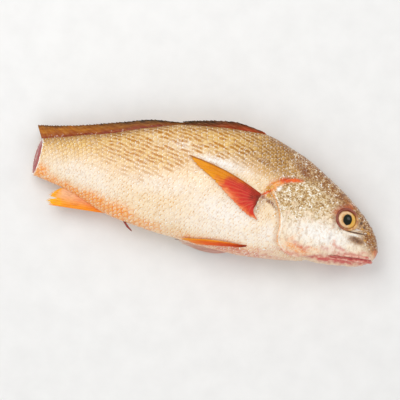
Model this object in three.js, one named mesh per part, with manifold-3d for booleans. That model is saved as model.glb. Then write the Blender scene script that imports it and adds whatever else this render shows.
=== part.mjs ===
// A whole raw fish lying on its left side, its tail fin cut off, in millimetres.
// +X runs from the tail cut to the snout, +Y from the belly to the back, and +Z up, out of the right
// flank. The origin is on the surface that the fish lies on, below the middle of its outline.
import * as THREE from "three";
import { mergeVertices } from "three/addons/utils/BufferGeometryUtils.js";
import Module from "manifold-3d";

const wasm = await Module();
wasm.setup();

// Driving dimensions.
const LENGTH = 256; // snout tip to tail cut
const DEPTH = 90; // back to belly, where the trunk is deepest
const THICKNESS = 43; // flank to flank, behind the gill covers
const SEAT = 19; // height of the midline plane of the trunk: the lower flank is pressed flat
const TAIL_DROOP = 6.5; // how far the tail end hangs below that plane
const SNOUT_RISE = 1; // and how far the snout stands above it
const TAIL_CUT_LEAN = 20; // degrees that the tail cut leans back from upright, so that it faces up
const EYE = { x: 101, y: 16.6, radius: 6.8, depth: 4.2, proud: 1.3, rim: 1.1 };
const NOSTRILS = [{ x: 110.5, y: 15.2, radius: 1.1 }, { x: 113.4, y: 12.6, radius: 0.8 }];
const GILL_RISE = 1.5; // how far the free edge of a gill cover stands off the flank
const LIP = 1.35; // radius of the lips at the front of the mouth
const ROOT_IN = 2.2; // how deep the dorsal and anal fins are rooted in the back and the belly
const GAP = 0.35; // left between a fin or an eye and its seat in the body

// Outlines, as [share of the length from the tail cut, share of the depth, or of half the thickness].
const BACK = [
  [-0.035, 0.125], [0, 0.162], [0.098, 0.256], [0.207, 0.373], [0.324, 0.514], [0.441, 0.599],
  [0.547, 0.646], [0.617, 0.656], [0.684, 0.609], [0.781, 0.502], [0.852, 0.393], [0.914, 0.278],
  [0.963, 0.161], [0.988, 0.067], [1, -0.017],
];
const BELLY = [
  [-0.035, -0.136], [0, -0.143], [0.098, -0.183], [0.145, -0.219], [0.195, -0.27], [0.27, -0.306],
  [0.391, -0.331], [0.52, -0.341], [0.598, -0.329], [0.695, -0.292], [0.793, -0.246], [0.906, -0.204],
  [0.953, -0.176], [0.98, -0.128], [0.996, -0.07], [1, -0.017],
];
const FLANK = [
  [-0.035, 0.29], [0, 0.31], [0.1, 0.43], [0.207, 0.61], [0.324, 0.8], [0.441, 0.94], [0.547, 0.99],
  [0.617, 1], [0.684, 0.995], [0.754, 0.965], [0.813, 0.89], [0.871, 0.77], [0.914, 0.64],
  [0.953, 0.48], [0.977, 0.35], [0.992, 0.215], [1, 0],
];
const WIDEST_AT = 0.47; // where a section is widest, as a share of its depth up from the belly
const BACK_ROUNDNESS = [[-0.035, 2], [0.2, 1.85], [0.5, 1.7], [0.7, 1.75], [0.85, 2.05], [1, 2.2]];
const BELLY_ROUNDNESS = [[-0.035, 2], [0.3, 1.9], [0.6, 2.05], [0.85, 2.3], [1, 2.2]];

const mix = (a, b, t) => a + (b - a) * t;
const clamped = (t) => Math.min(1, Math.max(0, t));
const arch = (t) => Math.sin(Math.PI * clamped(t));

// Smooth curve through [place, value] points, with the slope at each point taken from its neighbours.
function along(line, place) {
  const last = line.length - 1;
  let i = 0;
  while (i < last - 1 && place > line[i + 1][0]) i++;
  const rise = (k) => (line[k + 1][1] - line[k][1]) / (line[k + 1][0] - line[k][0]);
  const slope = (k) => (k === 0 ? rise(0) : k === last ? rise(last - 1) : (rise(k - 1) + rise(k)) / 2);
  const [x0, y0] = line[i];
  const [x1, y1] = line[i + 1];
  const span = x1 - x0;
  const t = (place - x0) / span;
  const t2 = t * t;
  const t3 = t2 * t;
  return (
    y0 * (2 * t3 - 3 * t2 + 1) + y1 * (3 * t2 - 2 * t3) +
    span * (slope(i) * (t3 - 2 * t2 + t) + slope(i + 1) * (t3 - t2))
  );
}

// The same through [place, x, y] points.
function pointAlong(line, place) {
  const column = (k) => line.map((point) => [point[0], point[k]]);
  return [along(column(1), place), along(column(2), place)];
}

const xOf = (share) => (share - 0.5) * LENGTH;
const shareOf = (x) => x / LENGTH + 0.5;
const backAt = (x) => along(BACK, shareOf(x)) * DEPTH;
const bellyAt = (x) => along(BELLY, shareOf(x)) * DEPTH;

// Height of the midline plane: level along the trunk, lower to the tail and a little higher to the snout.
function midlineAt(x) {
  const TAIL_FROM = 0.36;
  const SNOUT_FROM = 0.75;
  const tail = Math.max(0, (TAIL_FROM - shareOf(x)) / TAIL_FROM);
  const snout = Math.max(0, (shareOf(x) - SNOUT_FROM) / (1 - SNOUT_FROM));
  return SEAT - TAIL_DROOP * tail ** 1.6 + SNOUT_RISE * snout ** 2;
}

function sectionAt(x) {
  const share = shareOf(x);
  const top = backAt(x);
  const bottom = bellyAt(x);
  const mid = bottom + WIDEST_AT * (top - bottom);
  return {
    mid,
    up: top - mid,
    down: mid - bottom,
    half: (Math.max(0, along(FLANK, share)) * THICKNESS) / 2,
    upPower: along(BACK_ROUNDNESS, share),
    downPower: along(BELLY_ROUNDNESS, share),
  };
}

// Point of the skin at a turn about the body: 0 on the back, 90 degrees on the right flank, 180 on the
// belly and 270 on the left flank.
function skinAt(x, turn) {
  const s = sectionAt(x);
  const c = Math.cos(turn);
  const n = Math.sin(turn);
  const power = 2 / (c > 0 ? s.upPower : s.downPower);
  const y = s.mid + Math.sign(c) * (c > 0 ? s.up : s.down) * Math.abs(c) ** power;
  const z = midlineAt(x) + Math.sign(n) * s.half * Math.abs(n) ** power;
  return new THREE.Vector3(x, y, z);
}

// Point over the skin at x and y, on the right (side 1) or the left (side -1), lifted along its normal.
function overFlank(x, y, side, lift) {
  const s = sectionAt(x);
  const upper = y > s.mid;
  const share = Math.min(0.9999, Math.abs(y - s.mid) / (upper ? s.up : s.down));
  const lean = Math.acos(share ** ((upper ? s.upPower : s.downPower) / 2));
  const turn = side * (upper ? lean : Math.PI - lean);
  const here = skinAt(x, turn);
  const onward = skinAt(x + 0.5, turn).sub(here);
  const round = skinAt(x, turn + 0.01).sub(here);
  return here.addScaledVector(round.cross(onward).normalize(), lift);
}

// Geometry from points and triangles, turned inside out where its faces would point inwards.
function closedGeometry(points, triangles) {
  let volume = 0;
  for (const [a, b, c] of triangles) {
    volume += points[a].dot(new THREE.Vector3().crossVectors(points[b], points[c]));
  }
  const index = triangles.flatMap(([a, b, c]) => (volume < 0 ? [a, c, b] : [a, b, c]));
  return new THREE.BufferGeometry().setFromPoints(points).setIndex(index);
}

// Closed plate between two grids of points of the same shape, given as rows of columns.
function plateGeometry(front, back) {
  const rows = front.length;
  const columns = front[0].length;
  const points = [...front.flat(), ...back.flat()];
  const triangles = [];
  const at = (r, c, face) => face * rows * columns + r * columns + c;
  const quad = (a, b, c, d) => triangles.push([a, b, c], [a, c, d]);
  for (let r = 0; r < rows - 1; r++) {
    for (let c = 0; c < columns - 1; c++) {
      quad(at(r, c, 0), at(r, c + 1, 0), at(r + 1, c + 1, 0), at(r + 1, c, 0));
      quad(at(r, c, 1), at(r + 1, c, 1), at(r + 1, c + 1, 1), at(r, c + 1, 1));
    }
    quad(at(r, 0, 0), at(r + 1, 0, 0), at(r + 1, 0, 1), at(r, 0, 1));
    quad(at(r, columns - 1, 1), at(r + 1, columns - 1, 1), at(r + 1, columns - 1, 0), at(r, columns - 1, 0));
  }
  for (let c = 0; c < columns - 1; c++) {
    quad(at(0, c, 1), at(0, c + 1, 1), at(0, c + 1, 0), at(0, c, 0));
    quad(at(rows - 1, c, 0), at(rows - 1, c + 1, 0), at(rows - 1, c + 1, 1), at(rows - 1, c, 1));
  }
  return closedGeometry(points, triangles);
}

function solidOf(geometry) {
  const bare = geometry.clone();
  bare.deleteAttribute("normal");
  bare.deleteAttribute("uv");
  const merged = mergeVertices(bare, 1e-4);
  return new wasm.Manifold(
    new wasm.Mesh({
      numProp: 3,
      vertProperties: new Float32Array(merged.attributes.position.array),
      triVerts: new Uint32Array(merged.index.array),
    }),
  );
}

const WELD = 0.01; // a cut solid's vertices are put on a grid of this pitch, so that none nearly meet
const onGrid = (value) => Math.round(value / WELD) * WELD;

// Geometry of a solid on that grid, without the faces that fold up flat on it.
function geometryOf(solid) {
  const mesh = solid.getMesh();
  const loose = new THREE.BufferGeometry()
    .setAttribute("position", new THREE.BufferAttribute(new Float32Array(mesh.vertProperties).map(onGrid), 3))
    .setIndex(new THREE.BufferAttribute(new Uint32Array(mesh.triVerts), 1));
  const geometry = mergeVertices(loose, WELD / 2);
  const corners = geometry.index.array;
  const faces = new Map();
  for (let i = 0; i < corners.length; i += 3) {
    const face = [corners[i], corners[i + 1], corners[i + 2]];
    const key = [...face].sort().join();
    if (new Set(face).size < 3) continue;
    if (!faces.delete(key)) faces.set(key, face);
  }
  return geometry.setIndex([...faces.values()].flat());
}

// The main piece of a solid, without the loose slivers that a cut can leave.
function largest(solid) {
  return solid.decompose().sort((a, b) => b.volume() - a.volume())[0];
}

// Tube along points, of a radius that changes along it, closed at both ends.
function tubeGeometry(path, radiusAt, sides = 6) {
  const STEPS_PER_POINT = 1.4;
  const curve = new THREE.CatmullRomCurve3(path);
  const steps = Math.round(STEPS_PER_POINT * path.length);
  const frames = curve.computeFrenetFrames(steps, false);
  const points = [curve.getPointAt(0)];
  const triangles = [];
  for (let i = 0; i <= steps; i++) {
    const centre = curve.getPointAt(i / steps);
    for (let k = 0; k < sides; k++) {
      const turn = (2 * Math.PI * k) / sides;
      const out = frames.normals[i].clone().multiplyScalar(Math.cos(turn));
      out.addScaledVector(frames.binormals[i], Math.sin(turn));
      points.push(centre.clone().addScaledVector(out, radiusAt(i / steps)));
    }
  }
  points.push(curve.getPointAt(1));
  const ring = (i, k) => 1 + i * sides + (k % sides);
  for (let k = 0; k < sides; k++) {
    triangles.push([0, ring(0, k + 1), ring(0, k)]);
    triangles.push([points.length - 1, ring(steps, k), ring(steps, k + 1)]);
    for (let i = 0; i < steps; i++) {
      triangles.push([ring(i, k), ring(i, k + 1), ring(i + 1, k + 1)]);
      triangles.push([ring(i, k), ring(i + 1, k + 1), ring(i + 1, k)]);
    }
  }
  return closedGeometry(points, triangles);
}

// Trunk and head as one loft: its stations are closer at the snout, where the outline turns fastest, and
// it starts behind the tail cut.
function trunkGeometry() {
  const STATIONS = 46;
  const AROUND = 30;
  const CROWDING = 0.38;
  const start = BACK[0][0];
  const rings = [];
  for (let i = 0; i < STATIONS; i++) {
    const t = i / STATIONS;
    const share = mix(start, 1, mix(t, Math.sin((t * Math.PI) / 2), CROWDING));
    const ring = [];
    for (let k = 0; k < AROUND; k++) ring.push(skinAt(xOf(share), (2 * Math.PI * k) / AROUND));
    rings.push(ring);
  }
  const middle = (ring) => ring.reduce((sum, p) => sum.add(p), new THREE.Vector3()).divideScalar(AROUND);
  const points = [...rings.flat(), middle(rings[0]), skinAt(xOf(1), 0)];
  const [tail, tip] = [points.length - 2, points.length - 1];
  const at = (i, k) => i * AROUND + (k % AROUND);
  const triangles = [];
  for (let k = 0; k < AROUND; k++) {
    triangles.push([tail, at(0, k), at(0, k + 1)]);
    triangles.push([tip, at(STATIONS - 1, k + 1), at(STATIONS - 1, k)]);
    for (let i = 0; i < STATIONS - 1; i++) {
      triangles.push([at(i, k), at(i + 1, k + 1), at(i, k + 1)]);
      triangles.push([at(i, k), at(i + 1, k), at(i + 1, k + 1)]);
    }
  }
  return closedGeometry(points, triangles);
}

// Gill cover: a shallow shell over the cheek, with a free edge behind. Both outlines run down the side.
const GILL_EDGE = [
  [0, 62, 36.5], [0.12, 52, 32], [0.2, 44.5, 28], [0.28, 41.3, 23.5], [0.36, 44.5, 19], [0.46, 49.5, 12.5],
  [0.56, 53.2, 4.5], [0.66, 54.8, -3], [0.74, 54.6, -9], [0.81, 57, -14.5], [0.88, 63, -18.6],
  [1, 78, -19.6],
];
const GILL_FRONT = [[0, 80, 33], [0.4, 77, 19], [0.75, 79, -4], [1, 92, -15]];

function gillCoverGeometry(side) {
  const ROWS = 18;
  const COLUMNS = 4;
  const FRONT_RISE = -0.6; // the front runs into the cheek
  const EDGE_BEVEL = 0.35;
  const BURIED = -2.5;
  const outer = [];
  const inner = [];
  for (let r = 0; r <= ROWS; r++) {
    const [xEdge, yEdge] = pointAlong(GILL_EDGE, r / ROWS);
    const [xFront, yFront] = pointAlong(GILL_FRONT, r / ROWS);
    outer.push([]);
    inner.push([]);
    for (let c = 0; c <= COLUMNS; c++) {
      const t = c / COLUMNS;
      const x = mix(xFront, xEdge, t);
      const y = Math.max(mix(yFront, yEdge, t), bellyAt(x) + 0.6);
      const rise = mix(FRONT_RISE, GILL_RISE, Math.sin((t * Math.PI) / 2)) - (t === 1 ? EDGE_BEVEL : 0);
      outer[r].push(overFlank(x, y, side, rise));
      inner[r].push(overFlank(x, y, side, BURIED));
    }
  }
  return plateGeometry(outer, inner);
}

// The mouth runs round the snout, under the tip of the upper jaw.
const MOUTH_SIDE = [[93, -13.6], [102, -12.2], [110, -11], [117, -9.9], [122, -9.2]];
const MOUTH_FRONT = [125.3, -8.9];

function mouthPath(below, lift) {
  const half = (side) => MOUTH_SIDE.map(([x, y]) => overFlank(x, y - below, side, lift));
  const [x, y] = MOUTH_FRONT;
  return [...half(1), new THREE.Vector3(x, y - below, midlineAt(x)), ...half(-1).reverse()];
}

const lipRadius = (t) => LIP * mix(0.35, 1, arch(t) ** 0.7);
const slitRadius = (t) => mix(0.35, 0.8, arch(t) ** 0.5);

// Eyes: flattened balls, set square to the skin of the head, each in a rim of swollen skin.
// Puts a shape whose axis is Y on the eye's place, at a height along the line square to the skin there.
function setOnEye(shape, side, height) {
  const skin = overFlank(EYE.x, EYE.y, side, 0);
  const outward = overFlank(EYE.x, EYE.y, side, 1).sub(skin);
  const centre = skin.addScaledVector(outward, height);
  shape.applyQuaternion(new THREE.Quaternion().setFromUnitVectors(new THREE.Vector3(0, 1, 0), outward));
  return shape.translate(centre.x, centre.y, centre.z);
}

function eyeGeometry(side, grow) {
  const ball = new THREE.SphereGeometry(1, 16, 10);
  ball.scale(EYE.radius + grow, EYE.depth + grow, EYE.radius + grow);
  return setOnEye(ball, side, EYE.proud - EYE.depth);
}

function eyeRimGeometry(side) {
  const rim = new THREE.TorusGeometry(EYE.radius + 0.6 * EYE.rim, EYE.rim, 6, 18);
  return setOnEye(rim.rotateX(Math.PI / 2), side, -0.3 * EYE.rim);
}

function nostrilGeometry({ x, y, radius }, side) {
  const centre = overFlank(x, y, side, 0.2);
  return new THREE.SphereGeometry(radius, 7, 5).translate(centre.x, centre.y, centre.z);
}

// Fleshy root of a pectoral fin, behind the gill cover.
function finRootGeometry(side) {
  const path = [[50, 10], [44, 11.6], [38, 12.6], [32, 12.8]];
  const points = path.map(([x, y]) => overFlank(x, y, side, -1.4));
  return tubeGeometry(points, (t) => 2 + 1.6 * arch(t), 8);
}

// Slab that cuts off everything behind the tail cut.
function tailSlabGeometry() {
  const SIZE = 60;
  const slab = new THREE.BoxGeometry(SIZE, 2 * SIZE, 2 * SIZE);
  slab.translate(-SIZE / 2, 0, 0);
  slab.rotateY(THREE.MathUtils.degToRad(TAIL_CUT_LEAN));
  return slab.translate(-LENGTH / 2, 0, midlineAt(-LENGTH / 2));
}

function floorGeometry() {
  const SIZE = 400;
  return new THREE.BoxGeometry(SIZE, SIZE, SIZE).translate(0, 0, -SIZE / 2);
}

// A fin is a fan of rays with a membrane between them, as { rays, rows, web, thick, sunk, surfaceAt }.
// surfaceAt(place, reach) gives a point of its surface, where place goes from the first ray to the last
// and reach from the root to the tip. Its grid has a column for each ray and each gap, whose membrane
// reaches to web of the rays' length, and sunk is how much of its length may lie within the body.
const shares = (count) => Array.from({ length: count }, (_, i) => i / (count - 1));

function finGeometry(fin) {
  const TIP_THICKNESS = 0.4;
  const MEMBRANE_THICKNESS = 0.5;
  const isRay = (column) => column % 2 === 0;
  const middle = shares(fin.rows).map((reach) =>
    shares(2 * fin.rays - 1).map((place, c) => fin.surfaceAt(place, reach * (isRay(c) ? 1 : fin.web))),
  );
  const thicknessAt = (reach, c) =>
    fin.thick * mix(1, TIP_THICKNESS, reach) * (isRay(c) ? 1 : MEMBRANE_THICKNESS);
  return thickened(middle, thicknessAt, fin.level);
}

// The slot in the body for a fin: the same surface, plain, a little thicker and longer.
function seatGeometry(fin) {
  const MARGIN = 0.06;
  const ROOM = 0.8;
  const SLOT = 2.5 * GAP;
  const inside = (reach) => reach <= fin.sunk + 1 / fin.rows;
  const reaches = [-MARGIN, ...shares(fin.rows), 1 + MARGIN / 2].filter(inside);
  const places = [-MARGIN, ...shares(fin.rays), 1 + MARGIN];
  const middle = reaches.map((reach) => places.map((place) => fin.surfaceAt(place, reach)));
  for (const point of middle[0]) point.x += ROOM;
  for (const row of middle.slice(1)) row.at(-1).x += fin.endsBehind ? -ROOM : ROOM;
  return thickened(middle, () => fin.thick + SLOT, fin.level);
}

// Plate of a given thickness about a grid of points; that of a level one is measured straight up.
function thickened(middle, thicknessAt, level) {
  const lastRow = middle.length - 1;
  const lastColumn = middle[0].length - 1;
  const front = middle.map((row) => row.map((p) => p.clone()));
  const back = middle.map((row) => row.map((p) => p.clone()));
  for (let r = 0; r <= lastRow; r++) {
    for (let c = 0; c <= lastColumn; c++) {
      const down = middle[Math.min(r + 1, lastRow)][c].clone().sub(middle[Math.max(r - 1, 0)][c]);
      const across = middle[r][Math.min(c + 1, lastColumn)].clone().sub(middle[r][Math.max(c - 1, 0)]);
      const normal = level ? new THREE.Vector3(0, 0, 1) : down.cross(across).normalize();
      const half = thicknessAt(r / lastRow, c) / 2;
      front[r][c].addScaledVector(normal, half);
      back[r][c].addScaledVector(normal, -half);
    }
  }
  return plateGeometry(front, back);
}

// Fin in the fish's midline plane, between an outline of its root and one of its tip.
function midlineFin({ root, tip, sway, ...fan }) {
  const WAVE = 9;
  const surfaceAt = (place, reach) => {
    const [x0, y0] = root(place);
    const [x1, y1] = tip(place);
    const x = mix(x0, x1, reach);
    const aside = sway * reach * (Math.sin(x / WAVE) - 0.8);
    return new THREE.Vector3(x, mix(y0, y1, reach), midlineAt(x) + aside);
  };
  return { ...fan, endsBehind: true, surfaceAt };
}

// Folded dorsal fin: edge is [x, height over the back] of its free edge, and sweep is how far its rays
// lie back. Its first ray is the foremost.
function dorsalFin({ from, to, edge, sweep, ...fan }) {
  const LEAST = 0.4;
  const root = (place) => {
    const x = mix(from, to, place);
    return [x, backAt(x) - ROOT_IN];
  };
  const tip = (place) => {
    const x = mix(from, to, place) - along(sweep, place);
    return [x, backAt(x) + Math.max(LEAST, along(edge, x))];
  };
  return midlineFin({ root, tip, ...fan });
}

const dorsalSpiny = dorsalFin({
  from: 33,
  to: -27,
  edge: [[-33, 3], [-28, 3.8], [-20, 4.5], [-10, 5.2], [0, 5.6], [7, 5.2], [15, 3.7], [24, 1.9], [34, 0.2]],
  sweep: [[0, 7], [0.25, 20], [0.6, 20], [1, 6]],
  rays: 11, rows: 5, web: 0.94, thick: 2, sunk: 1, sway: 0.2,
});

const dorsalSoft = dorsalFin({
  from: -36,
  to: -126,
  edge: [[-136, 8.2], [-133, 10.8], [-125, 9.9], [-105, 8.7], [-77, 8], [-57, 6.5], [-44, 3.8], [-35, 2.2]],
  sweep: [[0, 4], [0.15, 13], [0.8, 16], [1, 8.5]],
  rays: 21, rows: 4, web: 0.94, thick: 1.5, sunk: 0.8, sway: 0.5,
});

const ANAL_TIPS = [
  [0, -112.3, -30], [0.25, -113, -27], [0.5, -112.4, -23.8], [0.75, -109.5, -20.4], [1, -105, -16.9],
];
const anal = midlineFin({
  root: (place) => {
    const x = mix(-65.5, -99, place);
    return [x, bellyAt(x) + ROOT_IN];
  },
  tip: (place) => pointAlong(ANAL_TIPS, place),
  rays: 9, rows: 6, web: 0.9, thick: 1.4, sunk: 1, sway: 0.6,
});

// Fin that lies on a flank: its rays fan out from a short root, dip into the skin there and stand off it
// by lift from reach rises on. The one under the fish is pressed flat on what the fish lies on.
function flankFin({ side, root, tips, bulge, dip, lift, rises, ...fan }) {
  const surfaceAt = (place, reach) => {
    const [x0, y0] = pointAlong(root, place);
    const [x1, y1] = pointAlong(tips, place);
    const y = mix(y0, y1, reach) + bulge * arch(reach) * (1 - place);
    const point = overFlank(mix(x0, x1, reach), y, side, mix(-dip, lift, clamped(reach / rises)));
    point.z = Math.max(point.z, fan.thick / 2 + 0.1);
    return point;
  };
  return { ...fan, level: true, surfaceAt };
}

const PECTORAL_TIPS = [
  [0, -20.8, 29.7], [0.12, -14, 26.4], [0.28, -3, 19.5], [0.45, 8, 12.2], [0.6, 16, 7.6],
  [0.78, 24.5, 2.8], [1, 36.3, -1.4],
];
const pectoral = (side) =>
  flankFin({
    side,
    root: [[0, 36.4, 16.4], [1, 34, 9]],
    tips: PECTORAL_TIPS,
    bulge: 4.4, dip: 0.6, lift: side > 0 ? 1.9 : 1.2, rises: 0.33,
    rays: 12, rows: 6, web: 0.96, thick: 1.1, sunk: side > 0 ? 0.3 : 1,
  });

// Pelvic fins lie back along the belly: the right one on the skin, the left one splayed beside it.
const pelvicRight = flankFin({
  side: 1,
  root: [[0, 36.5, -20.4], [1, 35, -23]],
  tips: [[0, -14.8, -28.6], [0.5, -12, -29], [1, -1, -29.4]],
  bulge: 1.6, dip: 0.7, lift: 1.3, rises: 0.25,
  rays: 6, rows: 7, web: 0.95, thick: 1.3, sunk: 1,
});

const PELVIC_LEFT_TIPS = [[0, -18, -31.3], [0.5, -10, -33.4], [1, 2, -34.2]];
const PELVIC_LEFT_TIP_HEIGHTS = [[0, 12.5], [0.5, 10.5], [1, 9]];
const pelvicLeft = {
  rays: 6, rows: 7, web: 0.95, thick: 1.3, sunk: 1,
  surfaceAt(place, reach) {
    const SPREAD = 2.2;
    const SAG = 3.4;
    const root = overFlank(mix(36.5, 35, place), mix(-20.4, -23, place), -1, -0.9);
    const [x, y] = pointAlong(PELVIC_LEFT_TIPS, place);
    const point = root.lerp(new THREE.Vector3(x, y, along(PELVIC_LEFT_TIP_HEIGHTS, place)), reach);
    point.y -= SPREAD * arch(reach) * place;
    point.z -= SAG * arch(reach);
    return point;
  },
};

// Small fleshy tube that hangs from the belly at the vent.
function ventPapillaGeometry(grow) {
  const height = midlineAt(-54) + 1;
  const path = [[-57.5 - grow, -26.2 + grow], [-56, -28.6], [-53.8, -30.7], [-48.8, -33.6]];
  const points = path.map(([x, y]) => new THREE.Vector3(x, y, height));
  return tubeGeometry(points, (t) => mix(0.95, 0.6, t) + grow, 8);
}

const finish = (color, roughness) => new THREE.MeshStandardMaterial({ color, roughness, metalness: 0 });
const fins = [
  ["dorsal_fin_spiny", dorsalSpiny, 0x6b3b26],
  ["dorsal_fin_soft", dorsalSoft, 0x93581f],
  ["anal_fin", anal, 0xf2a050],
  ["pectoral_fin_right", pectoral(1), 0xcf4a30],
  ["pectoral_fin_left", pectoral(-1), 0xcf4a30],
  ["pelvic_fin_right", pelvicRight, 0xe0702a],
  ["pelvic_fin_left", pelvicLeft, 0xe3bdb0],
];
const pieces = fins.map(([name, fin, colour]) => ({
  name,
  geometry: finGeometry(fin),
  seat: seatGeometry(fin),
  material: finish(colour, 0.4),
}));
for (const [name, side] of [["eye_right", 1], ["eye_left", -1]]) {
  const material = finish(0xb98a45, 0.15);
  pieces.push({ name, geometry: eyeGeometry(side, 0), seat: eyeGeometry(side, GAP), material });
}
pieces.push({
  name: "vent_papilla",
  geometry: ventPapillaGeometry(0),
  seat: ventPapillaGeometry(GAP),
  material: finish(0x9c3b3a, 0.4),
});

// The body, with the seat of each fin and eye cut out of it.
function bodyGeometry() {
  const joined = [trunkGeometry()];
  const cut = [tailSlabGeometry(), floorGeometry()];
  for (const side of [1, -1]) {
    joined.push(gillCoverGeometry(side), eyeRimGeometry(side), finRootGeometry(side));
    cut.push(...NOSTRILS.map((nostril) => nostrilGeometry(nostril, side)));
  }
  joined.push(tubeGeometry(mouthPath(-1.5, -0.5), lipRadius));
  joined.push(tubeGeometry(mouthPath(1.55, -0.4), lipRadius));
  cut.push(tubeGeometry(mouthPath(0.05, 0.3), slitRadius, 6));
  cut.push(...pieces.map((piece) => piece.seat));
  let body = joined.map(solidOf).reduce((whole, piece) => whole.add(piece));
  for (const piece of cut) body = body.subtract(solidOf(piece));
  return geometryOf(largest(solidOf(geometryOf(largest(body)))));
}

pieces.unshift({ name: "body", geometry: bodyGeometry(), material: finish(0xe3cfa6, 0.35) });

const fish = new THREE.Group();
for (const { name, geometry, material } of pieces) {
  const mesh = new THREE.Mesh(geometry, material);
  mesh.name = name;
  fish.add(mesh);
}
const middle = new THREE.Box3().setFromObject(fish).getCenter(new THREE.Vector3());
fish.position.set(onGrid(-middle.x), onGrid(-middle.y), 0);

export default fish;
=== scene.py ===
"""The looks of a whole raw fish: wet scaled skin, gill covers, lips, eyes, cut tail and folded fins.

The script is laid out as an add-on: the property groups hold the sizes and colours that a user would
change, each operator makes a piece or a group of like pieces, and main() runs them all in order.
"""

from functools import partial
from math import radians, tan

import bpy
import numpy as np
from mathutils import Matrix, Vector


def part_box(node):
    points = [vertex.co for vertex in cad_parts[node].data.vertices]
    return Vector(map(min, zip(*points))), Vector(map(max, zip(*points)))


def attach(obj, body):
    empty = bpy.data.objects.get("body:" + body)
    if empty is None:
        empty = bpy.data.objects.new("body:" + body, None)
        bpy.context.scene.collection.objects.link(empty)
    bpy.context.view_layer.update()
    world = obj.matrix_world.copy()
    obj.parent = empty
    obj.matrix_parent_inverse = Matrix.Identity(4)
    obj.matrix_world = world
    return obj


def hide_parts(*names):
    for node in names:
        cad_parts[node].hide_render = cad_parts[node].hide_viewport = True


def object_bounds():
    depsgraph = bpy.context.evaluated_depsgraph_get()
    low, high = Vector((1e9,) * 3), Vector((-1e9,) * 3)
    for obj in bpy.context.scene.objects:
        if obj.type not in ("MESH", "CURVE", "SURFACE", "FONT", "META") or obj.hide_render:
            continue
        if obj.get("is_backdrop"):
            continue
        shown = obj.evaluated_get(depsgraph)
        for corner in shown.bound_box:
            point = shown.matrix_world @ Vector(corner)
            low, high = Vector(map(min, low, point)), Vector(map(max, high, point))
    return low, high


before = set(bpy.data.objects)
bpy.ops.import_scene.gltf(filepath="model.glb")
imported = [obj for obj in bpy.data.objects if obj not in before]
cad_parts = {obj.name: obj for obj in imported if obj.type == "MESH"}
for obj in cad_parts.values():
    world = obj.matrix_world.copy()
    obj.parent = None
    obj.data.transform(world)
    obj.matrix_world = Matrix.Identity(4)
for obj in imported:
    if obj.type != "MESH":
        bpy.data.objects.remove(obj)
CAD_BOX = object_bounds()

bl_info = {
    "name": "Raw Fish",
    "version": (1, 0, 0),
    "blender": (4, 5, 0),
    "location": "3D View > Sidebar > Raw Fish",
    "description": "Dresses a raw fish: scaled skin, gill covers, lips, eyes, cut tail and fins",
    "category": "Object",
}

# ------------------------------------------------------------------------------------------------
# Form of the fish, in millimetres: x from the tail cut to the snout, y from the belly to the back and
# z up, out of the right flank. x is 0 halfway along the fish.
# ------------------------------------------------------------------------------------------------

MM = 0.001
LENGTH = 256
DEPTH = 90
THICKNESS = 43
SEAT = 19  # height of the midline plane of the trunk over the floor
TAIL_DROOP = 6.5
SNOUT_RISE = 1
TAIL_LEAN = tan(radians(20))  # how far the tail cut leans, for each millimetre of height

# Outlines, as (share of the way from the tail cut to the snout, share of the depth or half thickness).
BACK = [
    (-0.035, 0.125), (0, 0.162), (0.098, 0.256), (0.207, 0.373), (0.324, 0.514), (0.441, 0.599),
    (0.547, 0.646), (0.617, 0.656), (0.684, 0.609), (0.781, 0.502), (0.852, 0.393), (0.914, 0.278),
    (0.963, 0.161), (0.988, 0.067), (1, -0.017),
]
BELLY = [
    (-0.035, -0.136), (0, -0.143), (0.098, -0.183), (0.145, -0.219), (0.195, -0.27), (0.27, -0.306),
    (0.391, -0.331), (0.52, -0.341), (0.598, -0.336), (0.695, -0.304), (0.793, -0.257),
    (0.906, -0.204), (0.953, -0.176), (0.98, -0.128), (0.996, -0.07), (1, -0.017),
]
FLANK = [
    (-0.035, 0.29), (0, 0.31), (0.1, 0.43), (0.207, 0.61), (0.324, 0.8), (0.441, 0.94), (0.547, 0.99),
    (0.617, 1), (0.684, 0.995), (0.754, 0.965), (0.813, 0.89), (0.871, 0.77), (0.914, 0.64),
    (0.953, 0.48), (0.977, 0.35), (0.992, 0.215), (1, 0),
]
WIDEST_AT = 0.47  # share of the way up from the belly at which the trunk is thickest
# How square the trunk's section is over and under there, where 2 is an ellipse and less is a keel.
BACK_ROUNDNESS = [(-0.035, 2), (0.2, 1.85), (0.5, 1.7), (0.7, 1.75), (0.85, 2.05), (1, 2.2)]
BELLY_ROUNDNESS = [(-0.035, 2), (0.3, 1.9), (0.6, 2.05), (0.85, 2.3), (1, 2.2)]
# Places on the flank are (x, y).
LATERAL_LINE = [(-128, 1), (-90, 6), (-50, 17), (0, 27), (30, 32), (48, 33)]
EYE_AT = (99.7, 15.3)
EYE_LONG = 1.1  # length of the eye for its height
# The free edge of a gill cover and the line where it leaves the cheek: (share of the way down, x, y).
GILL_EDGE = [
    (0, 60, 35.2), (0.12, 50, 31), (0.2, 42.8, 27), (0.28, 40, 22.6), (0.36, 43, 18.2),
    (0.46, 48, 12), (0.56, 51.8, 4.2), (0.66, 53.6, -3), (0.74, 53.6, -9), (0.81, 56, -14.5),
    (0.88, 62, -18.6), (1, 77, -19.6),
]
GILL_FRONT = [(0, 80, 33), (0.4, 77, 19), (0.75, 79, -4), (1, 92, -15)]
# Size of the scales along the fish, as (x, share of a mid-body scale's size).
SCALE_SHARE = [(-128, 0.76), (-90, 0.88), (-50, 1), (20, 1), (62, 0.75), (128, 0.6)]
MOUTH_SIDE = [(93, -13.6), (102, -12.2), (110, -11), (117, -9.9), (122, -9.2)]
MOUTH_FRONT = (124.8, -8.7)
NOSTRILS = [(110.5, 15.2, 1.1), (113.4, 12.6, 0.8)]  # each (x, y, radius)
# Middle line of the pectoral fin's fleshy root.
FIN_ROOT = [(30, 13.5), (38, 13.5), (44, 13), (52, 12)]

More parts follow.
